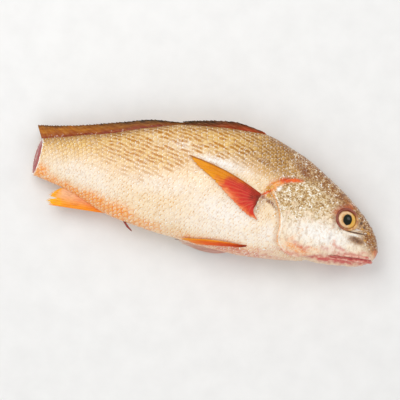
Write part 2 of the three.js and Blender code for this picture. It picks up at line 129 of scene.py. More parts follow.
# Fins. An edge is (x, height over the back) and a sweep is how far the rays lie back, by the place along
# the root. A root is (x, y) of the first and the last ray, and tips are (place along the root, x, y). The
# left pelvic fin stands away from the flank, so its tips have a height too.
ROOT_IN = 2.2  # how deep a fin's root sits in the back or the belly
SPINY_EDGE = [
    (-33, 3), (-28, 3.8), (-20, 4.5), (-10, 5.2), (0, 5.6), (7, 5.2), (15, 3.7), (24, 1.9), (34, 0.2),
]
SPINY_SWEEP = [(0, 7), (0.25, 20), (0.6, 20), (1, 6)]
SOFT_EDGE = [
    (-136, 10.2), (-133, 10.9), (-125, 9.9), (-105, 8.7), (-77, 8), (-57, 6.5), (-44, 3.8), (-35, 2.5),
    (-28, 2.2),
]
SOFT_SWEEP = [(0, 4), (0.15, 13), (0.8, 14), (1, 6.6)]
ANAL_ROOT = (-61, -99)
ANAL_TIPS = [
    (0, -112.5, -31), (0.25, -115, -28.2), (0.5, -114, -24.2), (0.75, -111, -20.4), (1, -106, -16.9),
]
PECTORAL_ROOT = [(36.4, 16.4), (34, 9)]
PECTORAL_TIPS = [
    (0, -22.8, 30.2), (0.1, -19.8, 26.8), (0.24, -11, 22), (0.4, -1.5, 17.6), (0.55, 8, 11.5),
    (0.7, 17, 6.3), (0.82, 24, 2.4), (0.92, 31, -0.8), (1, 37.8, -1.7),
]
PELVIC_ROOT = [(36.5, -21.2), (35.5, -22.4)]
PELVIC_TIPS = [(0, -14.8, -28.6), (0.5, -12, -29), (1, -1, -29.4)]
PELVIC_LEFT_ROOT = [(36.5, -20.4), (35, -23)]
PELVIC_LEFT_TIPS = [(0, -18, -31.3, 12.5), (0.5, -10, -33.4, 10.5), (1, 2, -34.2, 9)]
LEFT_PECTORAL_ROOM = 1.5  # how far the skin is pressed up over the left pectoral fin
LEFT_GILL_ROOM = 1  # how far it is pressed up over the left gill cover
VENT = [(-55, -27.2), (-53.6, -29.2), (-51.6, -31), (-47.6, -33.5)]


def mix(a, b, t):
    return a + (b - a) * t


def eased(low, high, value):
    """0 below low, 1 above high and smooth between them."""
    t = np.clip((value - low) / (high - low), 0, 1)
    return t * t * (3 - 2 * t)


def arch(t):
    return np.sin(np.pi * np.clip(t, 0, 1))


def hump(distance, reach):
    return np.exp(-((distance / reach) ** 2))


def along(line, place, column=1):
    """Smooth curve through a line's points, whose first value is the place."""
    knots = np.array(line, float)
    at, values = knots[:, 0], knots[:, column]
    rise = np.diff(values) / np.diff(at)
    slope = np.concatenate([rise[:1], (rise[:-1] + rise[1:]) / 2, rise[-1:]])
    place = np.clip(place, at[0], at[-1])
    k = np.clip(np.searchsorted(at, place, side="right") - 1, 0, len(rise) - 1)
    span = at[k + 1] - at[k]
    t = (place - at[k]) / span
    t2, t3 = t * t, t * t * t
    level = values[k] * (2 * t3 - 3 * t2 + 1) + values[k + 1] * (3 * t2 - 2 * t3)
    return level + span * (slope[k] * (t3 - 2 * t2 + t) + slope[k + 1] * (t3 - t2))


def ripple(x, y, size, seed=0.0):
    """Smooth unevenness from about -1 to 1, in lumps of about that size."""
    waves, loudest = 5, 2.4
    total = 0
    for k in range(waves):
        turn = 2.4 * k + seed
        pitch = 2 * np.pi / size * (0.6 + 0.21 * k)
        total = total + np.sin(pitch * (x * np.cos(turn) + y * np.sin(turn)) + 3.7 * k + 1.9 * seed)
    return total / loudest


def share_at(x):
    return x / LENGTH + 0.5


def back_at(x):
    return along(BACK, share_at(x)) * DEPTH


def belly_at(x):
    return along(BELLY, share_at(x)) * DEPTH


def midline(x):
    """Height of the midline plane: lower to the tail and a little higher to the snout."""
    tail_from, snout_from = 0.36, 0.75
    tail = np.maximum(0, (tail_from - share_at(x)) / tail_from)
    snout = np.maximum(0, (share_at(x) - snout_from) / (1 - snout_from))
    return SEAT - TAIL_DROOP * tail**1.6 + SNOUT_RISE * snout**2


def section(x):
    """Middle, reach up, reach down, half thickness and both roundnesses of the trunk at x."""
    share = share_at(x)
    top, bottom = back_at(x), belly_at(x)
    middle = bottom + WIDEST_AT * (top - bottom)
    half = np.maximum(0, along(FLANK, share)) * THICKNESS / 2
    return (middle, top - middle, middle - bottom, half,
            along(BACK_ROUNDNESS, share), along(BELLY_ROUNDNESS, share))


def skin(x, turn):
    """Points of the plain skin at a turn about the body: 0 on the back, a quarter on the right flank."""
    middle, up, down, half, up_round, down_round = section(x)
    c, s = np.cos(turn), np.sin(turn)
    power = 2 / np.where(c > 0, up_round, down_round)
    y = middle + np.sign(c) * np.where(c > 0, up, down) * np.abs(c) ** power
    z = midline(x) + np.sign(s) * half * np.abs(s) ** power
    return np.stack([x + 0 * y, y, z], -1)


def unit(vectors):
    return vectors / np.maximum(np.linalg.norm(vectors, axis=-1, keepdims=True), 1e-9)


def over_flank(x, y, side, lift=0.0):
    """Points over the skin at x and y, on the right (side 1) or the left (-1), lifted square to it."""
    x, y = np.broadcast_arrays(np.asarray(x, float), np.asarray(y, float))
    middle, up, down, _, up_round, down_round = section(x)
    upper = y > middle
    share = np.minimum(0.9999, np.abs(y - middle) / np.where(upper, up, down))
    lean = np.arccos(share ** (np.where(upper, up_round, down_round) / 2))
    turn = side * np.where(upper, lean, np.pi - lean)
    here = skin(x, turn)
    round_it = skin(x, turn + 0.01) - here
    onward = skin(x + 0.5, turn) - here
    return here + np.asarray(lift, float)[..., None] * unit(np.cross(round_it, onward))


def body_shift():
    """From the form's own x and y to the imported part's."""
    low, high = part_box("body")
    lowest = min(y for _, y in BELLY) * DEPTH
    return np.array([high.x / MM - LENGTH / 2, low.y / MM - lowest, 0])


SHIFT = body_shift()


def in_frame(points):
    """Points in millimetres of the form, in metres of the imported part, and none below the floor."""
    placed = (points + SHIFT) * MM
    placed[..., 2] = np.maximum(placed[..., 2], 0)
    return placed


# ------------------------------------------------------------------------------------------------
# Where the skin's colours lie. A spot is (x, y, half length, half height, tilt in degrees, strength).
# ------------------------------------------------------------------------------------------------

OLIVE_EDGE = [
    (-128, 3), (-100, 8), (-85, 11), (-55, 14), (-33, 18), (-20, 28), (0, 37), (20, 40), (44, 34), (62, 30),
]
SPOTS = {
    # Pale silvery skin; the band at (-2, 31) over the upper flank is painted sheen.
    "pale": [
        (20, -15, 46, 9, 0, 0.65), (-92, -3, 34, 10, -10, 0.6), (14, -4, 30, 13, -8, 0.9),
        (-30, 5, 40, 8, 8, 0.5), (-2, 31, 26, 5, -3, 0.9), (84, 0, 30, 12, 0, 1), (46, -10, 9, 10, 0, 0.8),
    ],
    "orange": [
        (-125, -9.5, 6, 5.5, 0, 1.3), (-113, -14, 14, 4.4, -14, 1.1), (-96, -18, 14, 5, -17, 1.2),
        (-79, -20.5, 16, 6.5, -12, 1.3), (-62, -23, 15, 7, -8, 1.1), (-42, -27, 18, 5, 0, 0.7),
        (70, -13.5, 10, 3, -10, 0.8), (42.5, 24.6, 6, 3.6, 50, 1.3), (125.5, -3.5, 2.4, 3.4, 60, 0.6),
        (30, -24, 16, 3, 5, 0.5), (0, -27, 22, 3.5, 0, 0.5), (64, -9, 4, 2, 60, 0.5),
        (82, -11.5, 6, 1.4, -5, 0.5), (62, -17, 8, 2, -30, 0.6), (98, 26, 5, 2, -40, 0.4),
        (20, -30, 40, 2, 3, 0.4), (46.5, 28.5, 4, 2, 30, 1.2),
    ],
    "red": [
        (50, 30.6, 4.4, 2.2, 18, 1.5), (56, 32.4, 5.6, 1.7, 14, 1.4), (95.5, 21, 6.5, 2.8, 32, 1.3),
        (38.4, 18.6, 4.6, 0.9, 42, 1.3), (36.2, 15.6, 1.8, 1.8, 15, 1), (127, -4, 1.8, 4, 30, 0.7),
        (95, -4, 1.2, 4, 15, 0.3),
    ],
    "pink": [
        (100, -6.4, 5, 1.6, -15, 0.6), (108, -8.6, 15, 1.8, 7, 0.6), (100, -15, 28, 3, 8, 1),
        (76, -12, 3, 1.2, 30, 0.6), (90, -9, 5, 2, 10, 0.45), (47, -22, 12, 1.2, 4, 0.4),
        (70, -18, 16, 2, 0, 0.5), (118, -5, 5, 1.6, 10, 0.4), (30, -27, 36, 3, 4, 0.6),
        (72, -12, 8, 2, -20, 0.5),
    ],
    # Soft dark patches: the four round the pectoral fin's root are painted shadow, and the rest are dark
    # skin of the upper flank, the cheek, the nape, about the eye and on the snout.
    "shade": [
        (36.8, 13.4, 2.4, 4.2, 18, 1), (41, 13.4, 5, 1.5, -15, 0.9), (45, 11.6, 4, 1.4, -35, 0.9),
        (35.4, 6.5, 2, 4, 5, 0.5), (31, 39.6, 13, 1, -14, 0.5), (90.4, 13, 1.8, 7, 15, 0.6),
        (90.8, -1, 1.2, 5, 0, 0.3), (97, 25, 9, 2, -48, 0.6), (60, 41, 8, 3, -28, 0.9),
        (94, 21.6, 6.5, 3.2, 36, 0.75), (104, 9.6, 9, 1, 10, 0.7),
        (109.6, 2.6, 6, 2.4, -6, 0.6), (121, 4.5, 8, 5, -58, 0.45),
    ],
    # The thin line at (108, 7.6), along the groove under the eye, and the two round spots in the nostrils'
    # pits are painted shade; the others are brown skin.
    "brown": [
        (108, 7.6, 10, 0.8, 4, 0.95), (96, 7.5, 5, 1.2, -50, 0.5), (110.5, 15.2, 1.4, 1.4, 0, 1),
        (113.4, 12.6, 1, 1, 0, 1), (109.6, 2.6, 6.4, 2.6, -6, 0.62),
    ],
    "gold": [
        (112, 11.4, 2.6, 0.9, 25, 0.85), (117.6, 9.2, 1.8, 1, -40, 0.85), (39.5, 21.5, 5, 3, 50, 0.8),
        (30, 33, 14, 6, -8, 0.45), (55, 40, 12, 5, -28, 0.45), (40.4, 16.8, 3.6, 2, 15, 0.9),
        (116, 4, 1.4, 0.8, 0, 0.8), (122, 3.4, 1.2, 0.8, 0, 0.7),
    ],
    # The bands at (-4, 31) and (-28, 36) over the upper flank are painted sheen, the band at (107.5, 9.9)
    # over the fold under the eye is a painted highlight, and the patch at (88, 0) is whitish cheek skin with
    # painted highlight; the rest are pale skin.
    "white": [
        (107.5, 9.9, 5, 0.7, 3, 0.65), (107.5, 5.6, 7.5, 1, 2, 0.6), (-4, 31, 22, 3, -3, 0.5),
        (-28, 36, 13, 5, 5, 0.4), (88, 0, 22, 8, 0, 0.5), (46.5, 23.5, 3, 2, 50, 0.7),
    ],
}
# Brown flecked skin on the head besides the crown: over the snout and below the eye.
DUSKY = [
    (119, 7, 11, 7, -55, 1.1), (111, 2.4, 7, 3, -6, 0.9), (123.5, -1, 4, 3.5, -60, 0.8),
    (90, 25, 8, 4, -35, 0.6),
]
# Darker skin of the nape.
NAPE = [(58, 42.5, 10, 4, -26, 0.7)]
# Where the back is paler between its dashes.
BARE_BACK = [(-34, 35, 26, 8, 10, 0.6), (-75, 22, 14, 5, 12, 0.3)]


def spotted(x, y, spots):
    """How strongly spots with soft edges cover each place."""
    most = np.zeros(np.shape(x))
    for at_x, at_y, length, height, tilt, strength in spots:
        c, s = np.cos(radians(tilt)), np.sin(radians(tilt))
        forward = ((x - at_x) * c + (y - at_y) * s) / length
        upward = ((y - at_y) * c - (x - at_x) * s) / height
        most = np.maximum(most, strength * np.exp(-((forward**2 + upward**2) ** 1.3)))
    return most


def from_eye(x, y):
    """Distance from the middle of the eye, which is longer than it is high."""
    return np.hypot((x - EYE_AT[0]) / EYE_LONG, y - EYE_AT[1])


def x_on(line, y):
    """Where a line down the head is at each height."""
    heights = sorted((y, x) for _, x, y in line)
    return np.interp(y, [p[0] for p in heights], [p[1] for p in heights])


def gill_x(y):
    """Where the free edge of the gill cover is, at each height."""
    return x_on(GILL_EDGE, y)


def painted(x, y, head):
    """The masks of every skin piece. head is 1 on the head and the gill covers."""
    high = back_at(x)
    olive = eased(-8, 9, y - along(OLIVE_EDGE, x) + 1.5 * ripple(x, y, 14)) * (1 - head)
    olive = olive * (1 - spotted(x, y, BARE_BACK))
    flecked = np.maximum(head, eased(44, 60, x + 3 * ripple(x, y, 8, 5)) * eased(26, 32, y))
    crown = np.maximum(eased(-15, -4, y - high + 1.4 * ripple(x, y, 9, 2)), spotted(x, y, DUSKY))
    fleck_line = y - 0.1 * (x - 60) + 3.5 * ripple(x, y, 11, 1)
    mottle = flecked * eased(-1, 22, fleck_line) * (1 - 0.3 * crown)
    crown = flecked * crown
    near_eye = hump(from_eye(x, y), 9)
    masks = {name: spotted(x, y, spots) for name, spots in SPOTS.items()}
    masks["olive"] = olive
    rear = mix(0.2, 1, eased(-92, -58, x + 0.6 * y))
    masks["dashed"] = rear * eased(-15, 5, y - along(OLIVE_EDGE, x) + 3 * ripple(x, y, 9, 3)) * (1 - head)
    masks["shoulder"] = eased(-10, 50, x) * (1 - head)
    nape = np.maximum(spotted(x, y, NAPE), eased(20, 35, x) * eased(-10, -2, y - high))
    ridge = np.maximum(0.7 * eased(-7, 0, y - high), 0.6 * eased(0, 45, x) * eased(26, 36, y))
    masks["ridge"] = (1 - 0.4 * head) * np.maximum(ridge * (1 - head), nape)
    masks["crown"] = crown
    masks["mottle"] = mottle * (1 - 0.8 * near_eye)
    masks["head"] = head
    return masks


# ------------------------------------------------------------------------------------------------
# Colours and sizes that a user would change
# ------------------------------------------------------------------------------------------------


def colour(code):
    """An sRGB hex value as a linear colour with alpha."""
    channels = [int(code[i : i + 2], 16) / 255 for i in (0, 2, 4)]
    return (*(c / 12.92 if c <= 0.04045 else ((c + 0.055) / 1.055) ** 2.4 for c in channels), 1)


def colour_property(name, description, code):
    return bpy.props.FloatVectorProperty(
        name=name, description=description, subtype="COLOR", size=4, min=0, max=1, default=colour(code)
    )


def length_property(name, description, size):
    return bpy.props.FloatProperty(
        name=name, description=description, unit="LENGTH", subtype="DISTANCE", precision=5,
        min=0, default=size * MM,
    )


class FishSizes(bpy.types.PropertyGroup):
    scale_length: length_property("Scale length", "Length of a scale at mid body, along its row", 4.5)
    scale_height: length_property("Scale height", "Height of a scale at mid body, from point to point", 6)
    scale_relief: length_property("Scale relief", "How far the rear edge of a scale stands up", 0.24)
    gill_rise: length_property("Gill rise", "How far the free edge of a gill cover stands up", 1.5)
    lip_radius: length_property("Lip radius", "Radius of the lips at the front of the mouth", 1.35)
    eye_radius: length_property("Eye radius", "Radius of an eyeball, seen from the front", 6.7)
    ray_relief: length_property("Ray relief", "How far the fin rays stand out of the membrane", 0.3)


class FishColours(bpy.types.PropertyGroup):
    flank: colour_property("Flank", "Silvery cream of the flank and belly", "F8E1BC")
    flank_marks: colour_property("Flank marks", "Golden tan marks on the scales of the flank", "DE9C34")
    back: colour_property("Back", "Golden olive of the back", "F3CF84")
    back_marks: colour_property("Back marks", "Golden brown dashes along the rows of scales", "BE7A10")
    ridge: colour_property("Ridge", "Brown along the ridge of the back", "B47E34")
    crown: colour_property("Crown", "Grey brown of the crown and the snout", "8C5E32")
    orange: colour_property("Orange", "Orange tint of the belly and the lower tail edge", "F28A20")
    red: colour_property("Red", "Blood red at the gill corner, eye and fin root", "D63A0C")
    # Brown is also painted shade: in the pits of the nostrils and along the groove under the eye.
    brown: colour_property("Brown", "Brown patches of the head and shoulder", "64422A")
    gold: colour_property("Gold", "Golden flecks", "D99E44")
    # This silvery white is also painted sheen on the upper flank, and painted glints on the scales' rims,
    # under the eye and on the cheek.
    silver_and_sheen: colour_property("Shine", "White shine of the silvery layer", "FFFDF8")
    flesh: colour_property("Flesh", "Raw flesh of the tail cut", "B4605C")
    lips: colour_property("Lips", "Pink red of the bare skin about the jaws", "CE5C54")


# ------------------------------------------------------------------------------------------------
# Mesh and material helpers
# ------------------------------------------------------------------------------------------------


def new_piece(name):
    """Names the primitive that was just added."""
    piece = bpy.context.object
    piece.name = piece.data.name = name
    return piece


def bent_grid(name, points, maps=None, masks=None):
    """Bends a flat grid primitive, and merges rows and columns that meet.

    points has a row of points for each row of the grid, in the form's millimetres. maps are UV maps
    and masks are painted values, both with a value for each point.
    """
    rows, columns = points.shape[:2]
    bpy.ops.object.select_all(action="DESELECT")
    bpy.ops.mesh.primitive_grid_add(
        x_subdivisions=columns - 1, y_subdivisions=rows - 1, size=1, calc_uvs=False
    )
    piece = new_piece(name)
    mesh = piece.data
    mesh.vertices.foreach_set("co", in_frame(points).ravel())
    corners = np.empty(len(mesh.loops), int)
    mesh.loops.foreach_get("vertex_index", corners)
    for map_name, values in (maps or {}).items():
        layer = mesh.uv_layers.new(name=map_name)
        layer.uv.foreach_set("vector", values.reshape(-1, 2)[corners].ravel())
    for mask_name, values in (masks or {}).items():
        attribute = mesh.attributes.new(mask_name, "FLOAT", "POINT")
        attribute.data.foreach_set("value", np.ascontiguousarray(values, float).ravel())
    bpy.ops.object.mode_set(mode="EDIT")
    bpy.ops.mesh.select_all(action="SELECT")
    bpy.ops.mesh.remove_doubles(threshold=2e-7)
    bpy.ops.mesh.normals_make_consistent(inside=False)
    bpy.ops.object.mode_set(mode="OBJECT")
    bpy.ops.object.shade_smooth()
    return piece


def grid_shares(points):
    """How far along its row and how far down the rows each point of a grid is, from 0 to 1."""
    rows, columns = points.shape[:2]
    return np.meshgrid(np.linspace(0, 1, columns), np.linspace(0, 1, rows))


def spread_map(columns, rows, width=1.0, height=1.0):
    """UV map that lays a grid out flat, its sides in that proportion."""
    longest = max(width, height)
    u = 0.01 + 0.98 * width / longest * columns
    v = 0.01 + 0.98 * height / longest * rows
    return np.stack(np.broadcast_arrays(u, v), -1)


def doubled(front, back):
    """Rows that run over the front of a plate and return over its back."""
    return np.concatenate([front, back[:, -2::-1]], axis=1)


def tube_points(path, radii, around=20):
    """Rows of points round a path, closed to a point at both ends."""
    path = np.asarray(path, float)
    forward = unit(np.gradient(path, axis=0))
    aside = unit(np.cross(forward, [0, 0.3, 1]))
    upward = np.cross(aside, forward)
    turn = np.linspace(0, 2 * np.pi, around + 1)
    c, s = np.cos(turn)[None, :, None], np.sin(turn)[None, :, None]
    ring = c * aside[:, None] + s * upward[:, None]
    return path[:, None] + np.asarray(radii, float)[:, None, None] * ring


def make_tube(name, path, radii, girth, length):
    """A closed tube round a path. Its map lays it out flat by its girth and its length."""
    points = tube_points(path, radii)
    return bent_grid(name, points, {"OFBake": spread_map(*grid_shares(points), girth, length)})


def place_on(piece, material, *nodes, slot=None):
    """Gives a finished piece its material, hangs it from the root body and hides the imported nodes it
    replaces.
    """
    piece.data.materials.clear()
    piece.data.materials.append(material)
    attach(piece, "root")
    if nodes:
        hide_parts(*nodes)
    return piece


def output_of(value):
    """A node stands for its first output in use, and a (node, name) pair for its output of that name."""
    node, name = value if isinstance(value, tuple) else (value, None)
    return next(s for s in node.outputs if s.enabled and name in (None, s.name))


def add_node(tree, kind, inputs=None, stops=None, **settings):
    """Adds a node with its settings and links. An input is a value, a node or a (node, output) pair."""
    node = tree.nodes.new("ShaderNode" + kind)
    count = len(tree.nodes)
    node.location = (220 * (count // 7), -190 * (count % 7))
    for name, value in settings.items():
        setattr(node, name, value)
    for key, value in (inputs or {}).items():
        named = [s for s in node.inputs if s.enabled and s.name == key]
        socket = named[0] if named else node.inputs[key]
        linked = value[0] if isinstance(value, tuple) else value
        if isinstance(linked, bpy.types.Node):
            tree.links.new(output_of(value), socket)
        else:
            socket.default_value = value
    if stops:
        ramp = node.color_ramp
        while len(ramp.elements) < len(stops):
            ramp.elements.new(0.5)
        for element, (position, code) in zip(ramp.elements, stops):
            element.position = position
            element.color = colour(code) if isinstance(code, str) else code
    return node


def new_material(name):
    """Starts a node material. Returns its function for adding nodes, and one that finishes its shader."""
    material = bpy.data.materials.new(name)
    material.use_nodes = True
    tree = material.node_tree
    surface = tree.nodes["Principled BSDF"]

    def finish(colours, **sockets):
        """Links or sets the shader's sockets, whose names have _ for a space."""
        tree.links.new(output_of(colours), surface.inputs["Base Color"])
        for key, value in sockets.items():
            socket = surface.inputs[key.replace("_", " ")]
            if isinstance(value, bpy.types.Node):
                tree.links.new(output_of(value), socket)
            else:
                socket.default_value = value
        return material

    return partial(add_node, tree), finish


# ------------------------------------------------------------------------------------------------
# Materials
# ------------------------------------------------------------------------------------------------

MASKS = (*SPOTS, "olive", "dashed", "shoulder", "ridge", "crown", "mottle", "head")

# Tones of the skin between the ones that a user would change.
SKIN_TONES = {
    "pale orange": "F8B468", "bright orange": "EE6A1C", "golden shoulder": "D8A23C",
    "shoulder marks": "8E5C10", "ridge marks": "7C4C18", "head blot": "EACB9C", "freckle": "DDA274",
    # The last tone below is the brown of painted shadow round the fin root and of dark skin patches.
    "cheek streak": "CDAE92", "shade": "8A5022",
}
# Tones of the head's flecks and of those on its crown, from the darkest to the palest; the near white palest
# are silver with painted glints.
FLECKS = [
    (0.0, "7C5428"), (0.22, "A87C42"), (0.42, "C9A366"), (0.6, "D6BE98"), (0.78, "E6D2B0"), (0.97, "FFFCF4"),
]
CROWN_FLECKS = [
    (0.0, "542A08"), (0.25, "864A14"), (0.5, "A66C2C"), (0.72, "C69C64"), (0.86, "EADABC"), (1.0, "FFFFFF"),
]


def scale_cells(add, lattice, wobble):
    """Where each place lies in its scale, from the lattice whose cells are single scales.

    A place runs from -0.5 to 0.5 along both sides of its cell. The front of a cell is covered by the
    round rear margin of the next scale. There over is positive, covered is 1 and the draws of chance
    are that scale's. high is how far a place is over or under the middle of its scale.
    """
    moved = add("VectorMath", {0: lattice, 1: (0.5, 0.5, 0)}, operation="ADD")
    cell = add("VectorMath", {0: moved}, operation="FLOOR")
    within = add("VectorMath", {0: moved, 1: cell}, operation="SUBTRACT")
    local = add("VectorMath", {0: within, 1: (0.5, 0.5, 0)}, operation="SUBTRACT")
    forward = add("VectorMath", {0: local, 1: (0.5, 0.5, 0)}, operation="DOT_PRODUCT")
    upward = add("VectorMath", {0: local, 1: (0.5, -0.5, 0)}, operation="DOT_PRODUCT")
    high = add("Math", {0: upward}, operation="ABSOLUTE")
    from_side = add("Math", {0: high, 1: 0.5}, operation="SUBTRACT")
    arc = add("Math", {0: from_side, 1: from_side}, operation="MULTIPLY")
    arc_place = add("Math", {0: arc, 1: -2.0, 2: forward}, operation="MULTIPLY_ADD")
    over = add("Math", {0: wobble, 1: 0.3, 2: arc_place}, operation="MULTIPLY_ADD")
    covered = add("Math", {0: over, 1: 0.0}, operation="GREATER_THAN")
    upper = add("Math", {0: upward, 1: 0.0}, operation="GREATER_THAN")
    lower = add("Math", {0: 1.0, 1: upper}, operation="SUBTRACT")
    step = add("CombineXYZ", {0: upper, 1: lower})
    owner_step = add("VectorMath", {0: step, "Scale": covered}, operation="SCALE")
    owner = add("VectorMath", {0: cell, 1: owner_step}, operation="ADD")
    draw = add("TexWhiteNoise", {"Vector": owner}, noise_dimensions="2D")
    return over, covered, high, add("SeparateColor", {0: (draw, "Color")})


def row_dashes(add, lattice, wobble, grain, shoulder):
    """Streaks along the rows of the back: noise drawn out along each row, that tapers off the row."""
    along_row = add("VectorMath", {0: lattice, 1: (0.5, 0.5, 0)}, operation="DOT_PRODUCT")
    over_rows = add("VectorMath", {0: lattice, 1: (1, -1, 0)}, operation="DOT_PRODUCT")
    row = add("Math", {0: over_rows}, operation="ROUND")
    off_row = add("Math", {0: over_rows, 1: row}, operation="SUBTRACT")
    row_start = add("Math", {0: row, 1: 5.37}, operation="MULTIPLY")
    row_place = add("Math", {0: along_row, 1: row_start}, operation="ADD")
    row_vector = add("CombineXYZ", {0: row_place, 1: row_start})
    dashes = add("TexNoise", {"Vector": row_vector, "Scale": 0.62, "Detail": 1.5}, noise_dimensions="2D")
    rough_off = add("Math", {0: wobble, 1: 0.3, 2: off_row}, operation="MULTIPLY_ADD")
    row_gap = add("Math", {0: rough_off}, operation="ABSOLUTE")
    line = add("MapRange", {"Value": row_gap, "From Min": 0.47, "From Max": 0.08},
               interpolation_type="SMOOTHSTEP")
    drawn = add("MapRange", {"Value": dashes, "From Min": 0.3, "From Max": 0.56, "To Min": 0.12})
    unbroken = add("MapRange", {"Value": shoulder, "From Min": 0.4, "To Min": 1.0, "To Max": 0.1})
    cut_up = add("MapRange", {"Value": grain, "From Min": 0.42, "From Max": 0.55, "To Min": unbroken})
    return line, drawn, cut_up


def head_flecks(add, place, wobble, blots, crown):
    """Flecks of the head, 0.85 mm wide: platelets of silver and gold, among brown on the crown; the palest
    are silver with painted glints.
    """
    cells = add("TexVoronoi", {"Vector": place, "Scale": 1 / (0.85 * MM), "Randomness": 1.0})
    draws = add("SeparateColor", {0: (cells, "Color")})
    spread = add("MapRange", {"Value": draws, "To Min": 0.14, "To Max": 0.86})
    mixed = add("Math", {0: wobble, 1: 0.6, 2: spread}, operation="MULTIPLY_ADD")
    broad = add("MapRange", {"Value": blots, "From Min": 0.35, "From Max": 0.65, "To Min": -0.2,
                             "To Max": 0.2})
    tone = add("Math", {0: mixed, 1: broad}, operation="ADD")
    flecks = add("ValToRGB", {0: tone}, stops=FLECKS)
    crown_flecks = add("ValToRGB", {0: tone}, stops=CROWN_FLECKS)
    return flecks, add("Mix", {"Factor": 0.9, "A": crown, "B": crown_flecks}, data_type="RGBA")


def ragged_spots(add, mask, grain, blots):
    """The painted spots by name: the broad ones come and go, and the small ones have ragged edges."""
    patchy = add("MapRange", {"Value": blots, "From Min": 0.38, "From Max": 0.6, "To Min": 0.5,
                              "To Max": 1.3})
    spot = {}
    for name in ("pale", "orange", "red", "pink", "shade"):
        spot[name] = add("Math", {0: mask[name], 1: patchy}, operation="MULTIPLY", use_clamp=True)
    for name in ("brown", "gold", "white"):
        ragged = add("Math", {0: mask[name], 1: grain}, operation="ADD")
        spot[name] = add("MapRange", {"Value": ragged, "From Min": 0.72, "From Max": 1.3},
                         interpolation_type="SMOOTHSTEP")
    return spot


